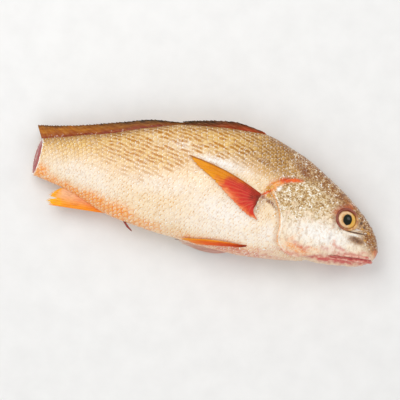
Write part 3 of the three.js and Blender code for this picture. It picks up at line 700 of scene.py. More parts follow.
def skin_material(colours):
    """Fish skin, wet: clear scales over a silvery layer with olive and orange pigment, under slime.

    It looks like mother of pearl with a darker mark in each scale, part pigment and part painted shade
    under the next scale's edge, and painted glints where a scale tips.
    """
    add, finish = new_material("Wet fish skin")
    place = (add("TexCoord"), "Object")
    mask = {name: (add("Attribute", attribute_name=name), "Fac") for name in MASKS}
    tone = {name: colour(code) for name, code in SKIN_TONES.items()}
    grain, blots, lumps, freckles = (
        add("TexNoise", {"Vector": place, "Scale": 1 / (size * MM), "Detail": detail, "Roughness": rough})
        for size, detail, rough in ((1.1, 3.0, 0.6), (3.2, 3.0, 0.55), (11, 4.0, 0.6), (1.9, 2.0, 0.7))
    )
    wobble = add("MapRange", {"Value": grain, "From Min": 0.3, "From Max": 0.7, "To Min": -0.3,
                              "To Max": 0.3})
    lattice = add("UVMap", uv_map="Scales")
    over, covered, high, draws = scale_cells(add, lattice, wobble)
    line, drawn, cut_up = row_dashes(add, lattice, wobble, grain, mask["shoulder"])
    flecks, crowned = head_flecks(add, place, wobble, blots, colours.crown)
    spot = ragged_spots(add, mask, grain, blots)

    # The pocket of each scale, behind the next one's edge, holds its pigment and painted shade under that
    # edge, and that edge gets a painted glint.
    pocket = add("MapRange", {"Value": over, "From Min": -0.5, "From Max": -0.05},
                 interpolation_type="SMOOTHSTEP")
    uncovered = add("Math", {0: 1.0, 1: covered}, operation="SUBTRACT")
    open_pocket = add("Math", {0: pocket, 1: uncovered}, operation="MULTIPLY")
    margin = add("MapRange", {"Value": over, "From Min": 0.42, "From Max": 0.06},
                 interpolation_type="SMOOTHSTEP")
    apex = add("MapRange", {"Value": high, "From Min": 0.08, "From Max": 0.38, "To Min": 0.1},
               interpolation_type="SMOOTHSTEP")
    # Per scale, how strongly its painted glint shows.
    glint = add("MapRange", {"Value": (draws, "Blue"), "From Min": 0.0, "From Max": 0.7, "To Min": 0.3})
    stained = add("MapRange", {"Value": (draws, "Green"), "From Min": 0.1, "From Max": 0.9, "To Min": 0.15})
    blotted = add("MapRange", {"Value": blots, "From Min": 0.42, "From Max": 0.62})
    freckled = add("MapRange", {"Value": freckles, "From Min": 0.56, "From Max": 0.66})
    scaled = add("Math", {0: 1.0, 1: mask["head"]}, operation="SUBTRACT")
    pale = add("Math", {0: 1.0, 1: mask["olive"]}, operation="SUBTRACT")
    dimmed = add("MapRange", {"Value": mask["olive"], "To Min": 1.0, "To Max": 0.8})
    # Specks fade under the pale spots, some of which are painted sheen.
    off_pale_spots = add("MapRange", {"Value": mask["pale"], "To Min": 1.0, "To Max": 0.55})
    under_dash = add("MapRange", {"Value": mask["shoulder"], "From Min": 0.4, "To Min": 0.4, "To Max": 0.9})
    undashed = add("MapRange", {"Value": mask["dashed"], "To Min": 1.0, "To Max": under_dash})

    # Streaks down the cheek, 2 mm wide and 7 mm long.
    strokes_place = add("Mapping", {"Vector": place, "Rotation": (0, 0, 0.35),
                                    "Scale": (1 / (2 * MM), 1 / (7 * MM), 1 / (5 * MM))})
    strokes = add("TexNoise", {"Vector": strokes_place, "Scale": 1.0, "Detail": 4.0, "Roughness": 0.6})
    stroke = add("MapRange", {"Value": strokes, "From Min": 0.5, "From Max": 0.64, "To Max": 0.65})

    # How strongly each kind of mark shows: the product of what bounds it and its greatest strength.
    strengths = {}
    for name, parts in {
        "dash": (line, drawn, cut_up, mask["dashed"], 1.15),
        "speck": (open_pocket, apex, pale, scaled, stained, off_pale_spots, 0.95),
        "blot": (blotted, pale, scaled, 0.25),
        "back blot": (blotted, mask["olive"], 0.3),
        # The pocket's mark: pigment darkened by painted shade under the next scale's edge.
        "pocket": (open_pocket, scaled, mask["olive"], undashed, 0.8),
        "head blot": (blotted, mask["head"], 0.3),
        "freckle": (freckled, mask["head"], 0.5),
        # The rim: a painted glint, white along the raised rear margin of a scale.
        "rim": (margin, covered, apex, scaled, glint, dimmed, 1.0),
    }.items():
        strength = parts[-1]
        for part in parts[:-1]:
            strength = add("Math", {0: strength, 1: part}, operation="MULTIPLY", use_clamp=True)
        strengths[name] = strength
    cheek_stroke = add("Math", {0: stroke, 1: mask["head"]}, operation="MULTIPLY")

    # Warmer patches of the flank, the golden tint of the shoulder and the patches of flecks.
    warm = add("MapRange", {"Value": lumps, "From Min": 0.38, "From Max": 0.7, "To Max": 0.35})
    warm_tone = (*Vector(colours.flank).lerp(Vector(colours.flank_marks), 0.35),)
    shoulder_back = add("Math", {0: mask["shoulder"], 1: mask["olive"]}, operation="MULTIPLY")
    tinted = add("Math", {0: shoulder_back, 1: 0.5}, operation="MULTIPLY")
    broken = add("MapRange", {"Value": blots, "From Min": 0.38, "From Max": 0.6, "To Min": -0.35,
                              "To Max": 0.35})
    patched = add("Math", {0: mask["mottle"], 1: broken}, operation="ADD")
    mottled = add("MapRange", {"Value": patched, "From Min": 0.15, "From Max": 0.75},
                  interpolation_type="SMOOTHSTEP")

    # The orange is deepest in the pockets of the scales, partly as painted shade, and grainy on the gill
    # covers.
    grainy = add("MapRange", {"Value": grain, "From Min": 0.42, "From Max": 0.56, "To Min": 0.3,
                              "To Max": 1.15})
    rough = add("Mix", {"Factor": mask["head"], "A": 1.0, "B": grainy})
    spot["orange"] = add("Math", {0: spot["orange"], 1: rough}, operation="MULTIPLY", use_clamp=True)
    deep = add("Mix", {"Factor": mask["head"], "A": pocket, "B": 0.65})
    mixed = {}
    for name, factor, light, dark in (
        ("orange", deep, tone["pale orange"], colours.orange),
        ("red", blotted, colours.red, tone["bright orange"]),
        ("marks", mask["shoulder"], colours.back_marks, tone["shoulder marks"]),
    ):
        mixed[name] = add("Mix", {"Factor": factor, "A": light, "B": dark}, data_type="RGBA")
    marks = add("Mix", {"Factor": mask["ridge"], "A": mixed["marks"], "B": tone["ridge marks"]},
                data_type="RGBA")

    # Painted light among the layers: painted sheen in the pale and white spots, painted shadow at the fin
    # root, painted shade in the nostrils and the groove under the eye, and the painted glints of the rims.
    base = colours.flank
    for factor, top in (
        (warm, warm_tone),
        (spot["pale"], colours.silver_and_sheen),
        (mask["olive"], colours.back),
        (tinted, tone["golden shoulder"]),
        (mask["ridge"], colours.ridge),
        (strengths["blot"], colours.flank_marks),
        (strengths["back blot"], colours.back_marks),
        (strengths["pocket"], marks),
        (strengths["speck"], colours.flank_marks),
        (strengths["dash"], marks),
        (strengths["head blot"], tone["head blot"]),
        (strengths["freckle"], tone["freckle"]),
        (cheek_stroke, tone["cheek streak"]),
        (mottled, flecks),
        (mask["crown"], crowned),
        (spot["orange"], mixed["orange"]),
        (spot["gold"], colours.gold),
        (spot["white"], colours.silver_and_sheen),
        (spot["pink"], colours.lips),
        (spot["red"], mixed["red"]),
        (spot["shade"], tone["shade"]),
        (spot["brown"], colours.brown),
        (strengths["rim"], colours.silver_and_sheen),
    ):
        base = add("Mix", {"Factor": factor, "A": base, "B": top}, data_type="RGBA")

    step_down = add("Math", {0: margin, 1: covered}, operation="MULTIPLY")
    edges = add("Math", {0: step_down, 1: scaled}, operation="MULTIPLY")
    height = add("Math", {0: edges, 1: 0.6, 2: grain}, operation="MULTIPLY_ADD")
    bump = add("Bump", {"Strength": 0.6, "Distance": 0.3 * MM, "Height": height})
    slime = add("Bump", {"Strength": 0.35, "Distance": 0.3 * MM, "Height": blots})
    gloss = add("MapRange", {"Value": lumps, "To Min": 0.28, "To Max": 0.5})
    return finish(base, Roughness=gloss, Normal=bump, IOR=1.38, Coat_Weight=0.35, Coat_Roughness=0.12,
                  Coat_Normal=slime)


def flesh_material(colours):
    """Raw fish flesh at a cut, moist: pink segments, a darker band at the sides and a pale rim of skin."""
    add, finish = new_material("Raw fish flesh")
    cut = add("UVMap", uv_map="Cut")
    middle = add("VectorMath", {0: cut, 1: (0.5, 0.5, 0)}, operation="SUBTRACT")
    reach = add("VectorMath", {0: middle}, operation="LENGTH")
    place = (add("TexCoord"), "Object")
    blood_line, blood_spot = colour("8E3F40"), colour("A2282A")
    fibres = add("TexNoise", {"Vector": place, "Scale": 1 / (1.5 * MM), "Detail": 5.0, "Roughness": 0.65})
    blood = add("TexNoise", {"Vector": place, "Scale": 1 / (4.5 * MM), "Detail": 2.0})
    out = add("Math", {0: reach, 1: 2.0}, operation="MULTIPLY")
    ring = add("ValToRGB", {0: out}, stops=[
        (0.0, "5A2A26"), (0.07, "6A322C"), (0.1, "E3C8B8"), (0.17, "D9A79A"), (0.22, "B86864"),
        (0.85, "B4605C"), (0.93, "D7B3A8"), (1.0, "EFE6DC")])
    base = ring
    for source, low, high, top in (
        (fibres, 0.45, 0.7, colours.flesh),
        (fibres, 0.55, 0.4, blood_line),
        (blood, 0.56, 0.7, blood_spot),
    ):
        amount = add("MapRange", {"Value": source, "From Min": low, "From Max": high, "To Max": 0.55})
        base = add("Mix", {"Factor": amount, "A": base, "B": top}, data_type="RGBA")
    bump = add("Bump", {"Strength": 0.5, "Distance": 0.3 * MM, "Height": fibres})
    return finish(
        base, Roughness=0.3, Normal=bump, IOR=1.36, Coat_Weight=0.5, Coat_Roughness=0.1,
        Subsurface_Weight=0.2, Subsurface_Radius=(1.5 * MM, 0.6 * MM, 0.4 * MM), Subsurface_Scale=1.0,
    )


def eye_material():
    """Eye of a fresh fish: a near black pupil in a brassy iris, under a clear wet cornea."""
    add, finish = new_material("Fish eye")
    front = add("UVMap", uv_map="Iris")
    gold, near_black = colour("EDB43C"), colour("10160A")

    # The pupil sits a little behind the middle, and is taller than it is long.
    pupil_at = (0.485, 0.47, 0)
    middle = add("VectorMath", {0: front, 1: pupil_at}, operation="SUBTRACT")
    oval = add("VectorMath", {0: middle, 1: (1.95, 1.9, 0)}, operation="MULTIPLY")
    reach = add("VectorMath", {0: oval}, operation="LENGTH")
    upright = add("VectorMath", {0: middle, 1: (2.2, 1.68, 0)}, operation="MULTIPLY")
    from_pupil = add("VectorMath", {0: upright}, operation="LENGTH")
    place = (add("TexCoord"), "Object")
    mottle = add("TexNoise", {"Vector": place, "Scale": 1 / (1.6 * MM), "Detail": 4.0})
    wobble = add("MapRange", {"Value": mottle, "To Min": -0.16, "To Max": 0.16})
    out = add("Math", {0: reach, 1: wobble}, operation="ADD")
    iris = add("ValToRGB", {0: out}, stops=[
        (0.45, "B4824E"), (0.6, "E2B47E"), (0.72, "EFCDA2"), (0.82, "E6B384"), (0.92, "CE8E60"),
        (1.0, "B87046")])
    sides = add("SeparateXYZ", {0: middle})
    ahead = add("MapRange", {"Value": sides, "From Min": 0.08, "From Max": 0.24, "To Max": 0.75})
    inner = add("MapRange", {"Value": out, "From Min": 0.98, "From Max": 0.85})
    gilt = add("Math", {0: ahead, 1: inner}, operation="MULTIPLY")
    gilded = add("Mix", {"Factor": gilt, "A": iris, "B": gold}, data_type="RGBA")
    edge = add("Math", {0: wobble, 1: 0.2, 2: from_pupil}, operation="MULTIPLY_ADD")
    dark = add("MapRange", {"Value": edge, "From Min": 0.52, "From Max": 0.45},
               interpolation_type="SMOOTHSTEP")
    base = add("Mix", {"Factor": dark, "A": gilded, "B": near_black}, data_type="RGBA")
    return finish(base, Roughness=0.25, IOR=1.2, Coat_Weight=0.3, Coat_Roughness=0.03)


def eye_ring_material():
    """Bare skin round the eye: blood red above and behind, and golden brown before and below."""
    add, finish = new_material("Skin round the eye")
    place = (add("TexCoord"), "Object")
    blotches = add("TexNoise", {"Vector": place, "Scale": 1 / (2.4 * MM), "Detail": 4.0, "Roughness": 0.6})
    x, y = ((at + shift) * MM for at, shift in zip(EYE_AT, SHIFT))
    from_middle = add("VectorMath", {0: place, 1: (x, y, 0)}, operation="SUBTRACT")
    up_and_back = add("VectorMath", {0: from_middle, 1: (-0.8, 0.6, 0)}, operation="DOT_PRODUCT")
    behind = add("MapRange", {"Value": up_and_back, "From Min": -9 * MM, "From Max": 7 * MM})
    shifted = add("MapRange", {"Value": blotches, "From Min": 0.3, "From Max": 0.7, "To Min": -0.25,
                               "To Max": 0.25})
    tone = add("Math", {0: behind, 1: shifted}, operation="ADD")
    base = add("ValToRGB", {0: tone}, stops=[
        (0.0, "D9A86C"), (0.25, "B4783E"), (0.5, "94502C"), (0.75, "86301A"), (1.0, "823412")])
    bump = add("Bump", {"Strength": 0.4, "Distance": 0.2 * MM, "Height": blotches})
    return finish(base, Roughness=0.3, Normal=bump, IOR=1.38, Coat_Weight=0.4, Coat_Roughness=0.1)


def moist_material(name, stops, size, gloss=0.3):
    """Bare moist skin, such as a lip: thin and soft over blood, so its colour comes and goes.

    stops are its colours from the darkest blotch to the palest, and size is how wide the blotches are.
    """
    add, finish = new_material(name)
    place = (add("TexCoord"), "Object")
    blotches = add("TexNoise", {"Vector": place, "Scale": 1 / (size * MM), "Detail": 4.0, "Roughness": 0.6})
    base = add("ValToRGB", {0: blotches}, stops=stops)
    creases = add("TexNoise", {"Vector": place, "Scale": 1 / (0.8 * MM), "Detail": 2.0})
    bump = add("Bump", {"Strength": 0.4, "Distance": 0.15 * MM, "Height": creases})
    return finish(base, Roughness=gloss, Normal=bump, IOR=1.38, Coat_Weight=0.5, Coat_Roughness=0.1)


def fin_material(name, rays, first, last, edge, edge_width, ray_tint, ray_strength, spread=(0.15, 0.75),
                 gain=0.0, streaking=(4.5, 5), streak_strength=0.1, glints=0.0):
    """Wet fin: a thin stained membrane between horny rays that branch to the tip.

    rays is how many rays the fan has, tinted with ray_tint at ray_strength. first and last are the
    colours from root to tip at the first and the last ray. spread is where one turns into the other, and
    gain is how much of the fan the first ones win on the way to the tips. edge is the colour of the
    leading edge, which takes up edge_width of the fan. streaking is how many streaks there are to a
    ray's width and to a ray's length, streak_strength is how strongly the light ones show, and glints is
    how strongly painted highlights glint near the base.
    """
    # The first darkens the stains; the second is the white of the painted highlights near the base.
    worn, glint_tone = colour("B07868"), colour("F8E4DC")
    add, finish = new_material(name)
    fan = add("SeparateXYZ", {0: add("UVMap", uv_map="Rays")})
    ray, reach = (fan, "X"), (fan, "Y")
    place = (add("TexCoord"), "Object")
    stains = add("TexNoise", {"Vector": place, "Scale": 1 / (6 * MM), "Detail": 3.0})
    stretched = add("Mapping", {"Vector": add("UVMap", uv_map="Rays"),
                                "Scale": (rays * streaking[0], streaking[1], 1)})
    streaks = add("TexNoise", {"Vector": stretched, "Scale": 1.0, "Detail": 4.0, "Roughness": 0.65})
    shifted = add("MapRange", {"Value": stains, "From Min": 0.3, "From Max": 0.7, "To Min": -0.12,
                               "To Max": 0.12})
    out = add("Math", {0: reach, 1: shifted}, operation="ADD")
    early = add("ValToRGB", {0: out}, stops=first)
    late = add("ValToRGB", {0: out}, stops=last)
    far_out = add("Math", {0: out, 1: out}, operation="MULTIPLY")
    behind = add("Math", {0: far_out, 1: -gain, 2: ray}, operation="MULTIPLY_ADD")
    later = add("MapRange", {"Value": behind, "From Min": spread[0], "From Max": spread[1]},
                interpolation_type="SMOOTHSTEP")
    fade = add("Mix", {"Factor": later, "A": early, "B": late}, data_type="RGBA")

    turn = add("Math", {0: ray, 1: 2 * np.pi * (rays - 1)}, operation="MULTIPLY")
    wave = add("Math", {0: turn}, operation="COSINE")
    on_ray = add("MapRange", {"Value": wave, "From Min": 0.3, "From Max": 1.0, "To Max": ray_strength})
    leading = add("MapRange", {"Value": ray, "From Min": edge_width, "From Max": edge_width * 0.35})
    clear_of_root = add("MapRange", {"Value": reach, "From Min": 0.12, "From Max": 0.4})
    on_edge = add("Math", {0: leading, 1: clear_of_root}, operation="MULTIPLY")
    dark = add("MapRange", {"Value": streaks, "From Min": 0.5, "From Max": 0.36, "To Max": 0.45})
    light = add("MapRange", {"Value": streaks, "From Min": 0.54, "From Max": 0.72,
                             "To Max": streak_strength})
    # Painted highlights: small white glints in clusters near the base.
    fine = add("TexNoise", {"Vector": place, "Scale": 1 / (1.3 * MM), "Detail": 1.0})
    sparks = add("MapRange", {"Value": fine, "From Min": 0.6, "From Max": 0.68, "To Max": glints})
    near_base = add("MapRange", {"Value": out, "From Min": 0.5, "From Max": 0.3})
    clusters = add("MapRange", {"Value": stains, "From Min": 0.5, "From Max": 0.58})
    near_base = add("Math", {0: near_base, 1: clusters}, operation="MULTIPLY")
    painted_glint = add("Math", {0: sparks, 1: near_base}, operation="MULTIPLY")
    deeper = add("Mix", {"Factor": 1.0, "A": fade, "B": worn}, data_type="RGBA", blend_type="MULTIPLY")
    base = fade
    for factor, top in (
        (dark, deeper), (light, ray_tint), (on_edge, edge), (on_ray, ray_tint), (painted_glint, glint_tone),
    ):
        base = add("Mix", {"Factor": factor, "A": base, "B": top}, data_type="RGBA")
    bump = add("Bump", {"Strength": 0.6, "Distance": 0.25 * MM, "Height": streaks})
    return finish(
        base, Roughness=0.45, Normal=bump, IOR=1.22, Coat_Weight=0.1, Coat_Roughness=0.12,
        Subsurface_Weight=0.1, Subsurface_Radius=(1 * MM, 0.5 * MM, 0.3 * MM), Subsurface_Scale=1.0,
    )


# ------------------------------------------------------------------------------------------------
# Pieces
# ------------------------------------------------------------------------------------------------


def scale_lattice(x, y, above_line, sizes):
    """Where each place lies in the lattice of scales, whose cells are single scales.

    above_line is how far up the skin a place is from the lateral line. The rows run up and back, and
    more so at the shoulder. Scales are smaller to the tail and the head.
    """
    stations = np.linspace(-LENGTH, LENGTH, 2 * LENGTH + 1)
    share = along(SCALE_SHARE, stations)
    long, high = sizes.scale_length / MM * share, sizes.scale_height / MM * share
    row_tilt = mix(0.15, 0.19, eased(-90, -60, stations)) + 0.17 * eased(-20, 30, stations)
    tilt = row_tilt + np.gradient(along(LATERAL_LINE, stations), stations)
    columns, climb = np.cumsum(1 / long), np.cumsum(tilt / high)
    here = {name: np.interp(x, stations, values) for name, values in
            (("long", long), ("high", high), ("tilt", tilt), ("columns", columns), ("climb", climb))}
    wander = 0.12 * ripple(x, y, 21, 1) + 0.06 * ripple(x, y, 8, 6)
    a = here["columns"] - here["tilt"] * above_line / here["long"] + wander
    b = here["climb"] + above_line / here["high"] + 0.08 * ripple(x, y, 17, 2) + 0.05 * ripple(x, y, 7, 7)
    return np.stack([a + b, a - b], -1)


def scale_relief(lattice):
    """Height of the overlapping scales, from 0 to 1: each rises to its round rear edge.

    In front of the arc is the scale of this cell, and behind it the rear margin of the one that
    overlaps it.
    """
    local = lattice - np.round(lattice)
    forward = (local[..., 0] + local[..., 1]) / 2
    upward = np.abs(local[..., 0] - local[..., 1]) / 2
    over = forward - 2 * (upward - 0.5) ** 2
    return np.where(over < 0, -over, 0.5 - forward + 2 * upward**2)


def off_gill_edge(x, y):
    """Distance behind the free edge of the gill cover, negative in front of it."""
    t = np.linspace(0, 1, 160)
    edge_x, edge_y = along(GILL_EDGE, t), along(GILL_EDGE, t, 2)
    nearest = np.full(np.shape(x), 1e9)
    for at_x, at_y in zip(edge_x, edge_y):
        nearest = np.minimum(nearest, np.hypot(x - at_x, y - at_y))
    return nearest * np.where(x < gill_x(y), 1, -1)


def swellings(x, y):
    """Folds and swellings of the skin, in millimetres outwards: sockets, grooves, ridges and dents.

    Most are a height, times the stretch of the fish where they run, times a hump about their own line.
    """
    near_root = eased(35, 40, x) * eased(52, 45, x)
    root = 0.9 * near_root * hump(y - along(FIN_ROOT, x), 3.4)
    behind = off_gill_edge(x, y)
    opening = -0.8 * hump(behind - 0.8, 1.6) - 0.9 * eased(0.5, -1, behind) * eased(-9, -4, behind)
    eye_gap = from_eye(x, y)
    socket = -3.2 * eased(7.1, 6, eye_gap) + 0.35 * hump(eye_gap - 9.2, 2)
    mouth_y = along(MOUTH_SIDE, x)
    mouth = -1.1 * eased(92, 97, x) * hump(y - mouth_y, 0.9)
    under_eye = -0.5 * eased(97, 101, x) * eased(118, 114, x) * hump(y - 8.3 - 0.05 * (x - 105), 0.8)
    jaw = 0.5 * eased(88, 96, x) * hump(y - mouth_y - 4, 1.5) - 0.3 * hump(np.hypot(x - 92, (y + 4) / 3), 2)
    nostrils = -0.6 * sum(hump(np.hypot(x - at_x, y - at_y), radius) for at_x, at_y, radius in NOSTRILS)
    muscles = 0.35 * ripple(x, y, 46, 3) * eased(128, 100, np.abs(x))
    head = eased(50, 70, x)
    bones = head * (0.16 * ripple(x, y, 6, 4) + 0.1 * ripple(x, y, 2.6, 5))
    line_tubes = 0.16 * (1 - head) * hump(y - along(LATERAL_LINE, x), 0.9)
    folds = root + opening + socket + mouth + under_eye + jaw + nostrils
    return folds + muscles + bones + line_tubes


# The skin turns in at the tail cut: (share of the cut's size, how far it stands out of the cut).
TAIL_RIM = [(0, -3), (0.8, -3), (0.88, -1.2), (0.93, 0), (0.97, 0.35)]


def tail_lean(x):
    """How much of the tail cut's lean the skin has taken up at x."""
    return 1 - eased(-LENGTH / 2, -LENGTH / 2 + 26, x)


def pressed_in(points):
    """How high the skin lies over the floor where the left gill cover and pectoral fin are under it."""
    place, reach = np.linspace(0, 1, 40)[None, :], np.linspace(0, 1, 60)[:, None]
    fin = left_pectoral(place, reach)[..., :2].reshape(-1, 2)
    margin, near_floor = 3, 2
    low, high = fin.min(axis=0) - margin, fin.max(axis=0) + margin
    flat = points[..., :2]
    low_down = points[..., 2] < near_floor
    near = low_down & (flat > low).all(axis=-1) & (flat < high).all(axis=-1)
    level = np.zeros(near.shape)
    gaps = np.linalg.norm(flat[near][:, None] - fin[None], axis=-1).min(axis=1)
    level[near] = LEFT_PECTORAL_ROOM * eased(2.2, 0.8, gaps)
    x, y = points[..., 0], points[..., 1]
    front, edge = x_on(GILL_FRONT, y), gill_x(y)
    back = (front - x) / (front - edge)
    covered = low_down * eased(0.15, 0.45, back) * eased(1.06, 1, back)
    return np.maximum(level, LEFT_GILL_ROOM * covered)


def trunk(sizes):
    """Rows of points of the skin from the tail cut to the snout, with its maps and masks."""
    step, snout_from = 0.725, 115
    straight = np.arange(-LENGTH / 2, snout_from, step)
    round_snout = LENGTH / 2 - snout_from
    onward = np.arange(step / round_snout, np.pi / 2, step / round_snout)
    x = np.concatenate([straight, snout_from + round_snout * np.sin(onward), [LENGTH / 2]])[:, None]

    # Columns are even round the right flank and wider apart on the left one, on which the fish lies.
    columns, left_share = 266, 0.6
    turns = np.linspace(np.pi, -np.pi, 1441)
    fine = skin(x, turns)
    stretch = np.linalg.norm(np.diff(fine, axis=1), axis=-1)
    zero = np.zeros((len(x), 1))
    arc = np.concatenate([zero, np.cumsum(stretch, axis=1)], axis=1)
    dense = mix(left_share, 1, eased(-0.4, 0.2, turns[1:]) * eased(np.pi + 0.2, np.pi - 0.2, turns[1:]))
    spread = np.concatenate([zero, np.cumsum(stretch * dense + 1e-6, axis=1)], axis=1)
    shares = np.linspace(0, 1, columns)
    turn = np.array([np.interp(shares * row[-1], row, turns) for row in spread])
    turn[:, 0], turn[:, -1] = np.pi, -np.pi
    points = skin(x, turn)
    points[:, -1] = points[:, 0]

    reach = np.array([np.interp(-t, -turns, row) for t, row in zip(turn, arc)])
    from_ridge = np.abs(reach - np.array([np.interp(0, -turns, row) for row in arc])[:, None])
    flank = turns > 0
    line_y = along(LATERAL_LINE, x[:, 0])
    heights, arcs = fine[:, flank, 1], arc[:, flank]
    line_at = np.array([np.interp(y, row, a) for y, row, a in zip(line_y, heights, arcs)])
    line_from_ridge = np.array([row[turns >= 0][-1] for row in arc]) - line_at
    above_line = line_from_ridge[:, None] - from_ridge

    at_x, at_y = np.broadcast_arrays(points[..., 0], points[..., 1])
    head = eased(-1, 5, at_x - gill_x(at_y))
    lattice = scale_lattice(at_x, at_y, above_line, sizes)
    normal = unit(np.cross(np.gradient(points, axis=0), np.gradient(points, axis=1)))
    normal[0], normal[-1] = (-1, 0, 0), (1, 0, 0)
    relief = sizes.scale_relief / MM * scale_relief(lattice) * (1 - head) * eased(0, 3, from_ridge)
    lift = (relief + swellings(at_x, at_y)) * eased(LENGTH / 2, LENGTH / 2 - 6, at_x)
    points = points + normal * lift[..., None]
    points[..., 0] += tail_lean(at_x) * TAIL_LEAN * (points[..., 2] - midline(at_x))
    points[-1] = points[-1].mean(axis=0)
    masks = painted(at_x, at_y, head)
    points[..., 2] = np.maximum(points[..., 2], pressed_in(points))

    points = np.concatenate([[tail_ring(points[0], *ring) for ring in TAIL_RIM], points])
    rows = np.maximum(0, np.arange(len(points)) - len(TAIL_RIM))
    widest = reach.max()
    aside = 0.5 + (reach[rows] - reach[rows, -1:] / 2) / widest
    flat = spread_map(aside, grid_shares(points)[1], widest, LENGTH)
    masks = {name: values[rows] for name, values in masks.items()}
    at_cut = np.arange(len(points)) < len(TAIL_RIM) + 1
    masks["white"][at_cut] = 0.6  # the pale edge of the skin, all round the cut
    return points, {"Scales": lattice[rows], "OFBake": flat}, masks


def tail_ring(ring, share, out):
    """The tail cut's outline drawn in to a share of its size, and moved out of the cut."""
    centre = ring.mean(axis=0)
    outward = np.array([-1, 0, TAIL_LEAN]) / np.hypot(1, TAIL_LEAN)
    return centre + (ring - centre) * share + outward * out


def tail_flesh(ring):
    """Cut flesh within the skin's rim: two masses of muscle with their segments, and the backbone."""
    rows, edge = 26, 0.94
    swell, sunk, relief = 1.3, 0.3, 0.16
    front = np.linspace(0, edge, rows)
    swollen = swell * (1 - (front / edge) ** 4) - sunk
    segments = relief * np.sin(front * 30) * eased(0.15, 0.4, front)
    front_outs = swollen + segments
    front_outs[:3] = (-0.5, -0.35, 0.5)  # the backbone: a hollow face in a raised rim

    # From its edge the plate returns inwards behind its front.
    shares = np.array([*front, edge, 0.8, 0])
    outs = np.array([*front_outs, -1.8, -2.6, -2.6])
    points = np.array([tail_ring(ring, share, out) for share, out in zip(shares, outs)])
    angle = np.linspace(0, 2 * np.pi, points.shape[1])
    spread = shares[:, None]
    cut = np.stack([0.5 + 0.5 * spread * np.cos(angle), 0.5 + 0.5 * spread * np.sin(angle)], -1)
    hidden = (np.arange(len(shares)) >= rows)[:, None, None]
    flat = np.where(hidden, cut * 0.4 + np.array([0.55, 0.0]), cut * 0.5)
    return points, {"Cut": cut, "OFBake": flat}


def gill_cover(side, sizes):
    """Gill cover: a thin shell with a rounded free edge behind, that runs into the cheek in front."""
    down = np.linspace(0, 1, 190)[:, None]
    back = 1 - (1 - np.linspace(0, 1, 64)[None, :]) ** 1.5
    x = mix(along(GILL_FRONT, down), along(GILL_EDGE, down), back)
    y = mix(along(GILL_FRONT, down, 2), along(GILL_EDGE, down, 2), back)
    y = np.maximum(y, belly_at(x) + 0.6)
    ends = eased(0, 0.08, down) * eased(1, 0.94, down)
    rise, sunk, wall = sizes.gill_rise / MM, -0.7, 0.9
    bead = 0.3 * hump(back - 0.93, 0.035)
    round_from, round_over = 0.965, 0.035
    rounded = np.sqrt(np.clip(1 - ((back - round_from) / round_over) ** 2, 0, 1))
    rounded = np.where(back < round_from, 1, rounded)
    surface = mix(sunk, rise, np.sin(back * np.pi / 2) * ends)
    bones = (0.12 * ripple(x, y, 6, 4) + 0.08 * ripple(x, y, 2.4, 5)) * eased(0, 0.3, back)
    outer = surface + (bead + bones) * ends - wall / 2 * (1 - rounded)
    walled = eased(0, 0.05, back) * eased(0, 0.03, down) * eased(1, 0.97, down)
    inner = surface - wall * walled + wall / 2 * (1 - rounded)
    inner = np.where((back >= 1) | (back <= 0) | (down <= 0) | (down >= 1), outer, inner)
    front_wall, back_wall = over_flank(x, y, side, outer), over_flank(x, y, side, inner)
    front_wall[..., 2] = np.maximum(front_wall[..., 2], 0.2 * eased(0.15, -0.15, surface))
    back_wall[..., 2] = np.maximum(back_wall[..., 2], LEFT_GILL_ROOM / 2 * walled * rounded)
    points = doubled(front_wall, back_wall)
    both_x, both_y = doubled(x, x), doubled(y, y)
    masks = painted(both_x, both_y, np.ones(both_x.shape))
    from_edge = doubled(back, back) + 0 * both_x - 1
    below_corner = eased(0.2, 0.36, down)
    masks["orange"] = np.maximum(masks["orange"], 1.1 * below_corner * hump(from_edge, 0.028))
    masks["white"] = np.maximum(masks["white"], 0.5 * below_corner * hump(from_edge + 0.07, 0.03))
    lattice = np.stack([both_x, both_y], -1) / (sizes.scale_length / MM)
    return points, {"Scales": lattice, "OFBake": spread_map(*grid_shares(points))}, masks


def smooth_path(knots, count):
    """Points along a smooth curve through the knots, in even steps from knot to knot."""
    knots = np.asarray(knots, float)
    numbered = np.column_stack([np.arange(len(knots)), knots])
    steps = np.linspace(0, len(knots) - 1, count)
    return np.stack([along(numbered, steps, k) for k in (1, 2, 3)], -1)


def mouth_path(below, lift, count=150):
    """The line of the mouth round the snout, moved down by below, and at the sides off the skin by lift."""
    right, left = ([over_flank(x, y - below, side, lift) for x, y in MOUTH_SIDE] for side in (1, -1))
    x, y = MOUTH_FRONT
    return smooth_path([*right, (x, y - below, midline(x)), *left[::-1]], count)


def on_skin(x, y, side, height=0.0):
    """Placement square to the skin: local z points out of it and local x to the snout."""
    foot = over_flank(x, y, side)
    outward = unit(over_flank(x, y, side, 1) - foot)
    ahead = unit(np.array([1, 0, 0]) - outward * outward[0])
    aside = np.cross(outward, ahead)
    turn = Matrix(np.column_stack([ahead, aside, outward]).tolist()).to_4x4()
    return Matrix.Translation(((foot + outward * height + SHIFT) * MM).tolist()) @ turn


def eye_shaped(name, flatness):
    """Names the primitive that was just added, and gives it an eye's length and that flatness."""
    piece = new_piece(name)
    bpy.ops.object.mode_set(mode="EDIT")
    bpy.ops.mesh.select_all(action="SELECT")
    bpy.ops.transform.resize(value=(EYE_LONG, 1, flatness))
    bpy.ops.object.mode_set(mode="OBJECT")
    bpy.ops.object.shade_smooth()
    return piece


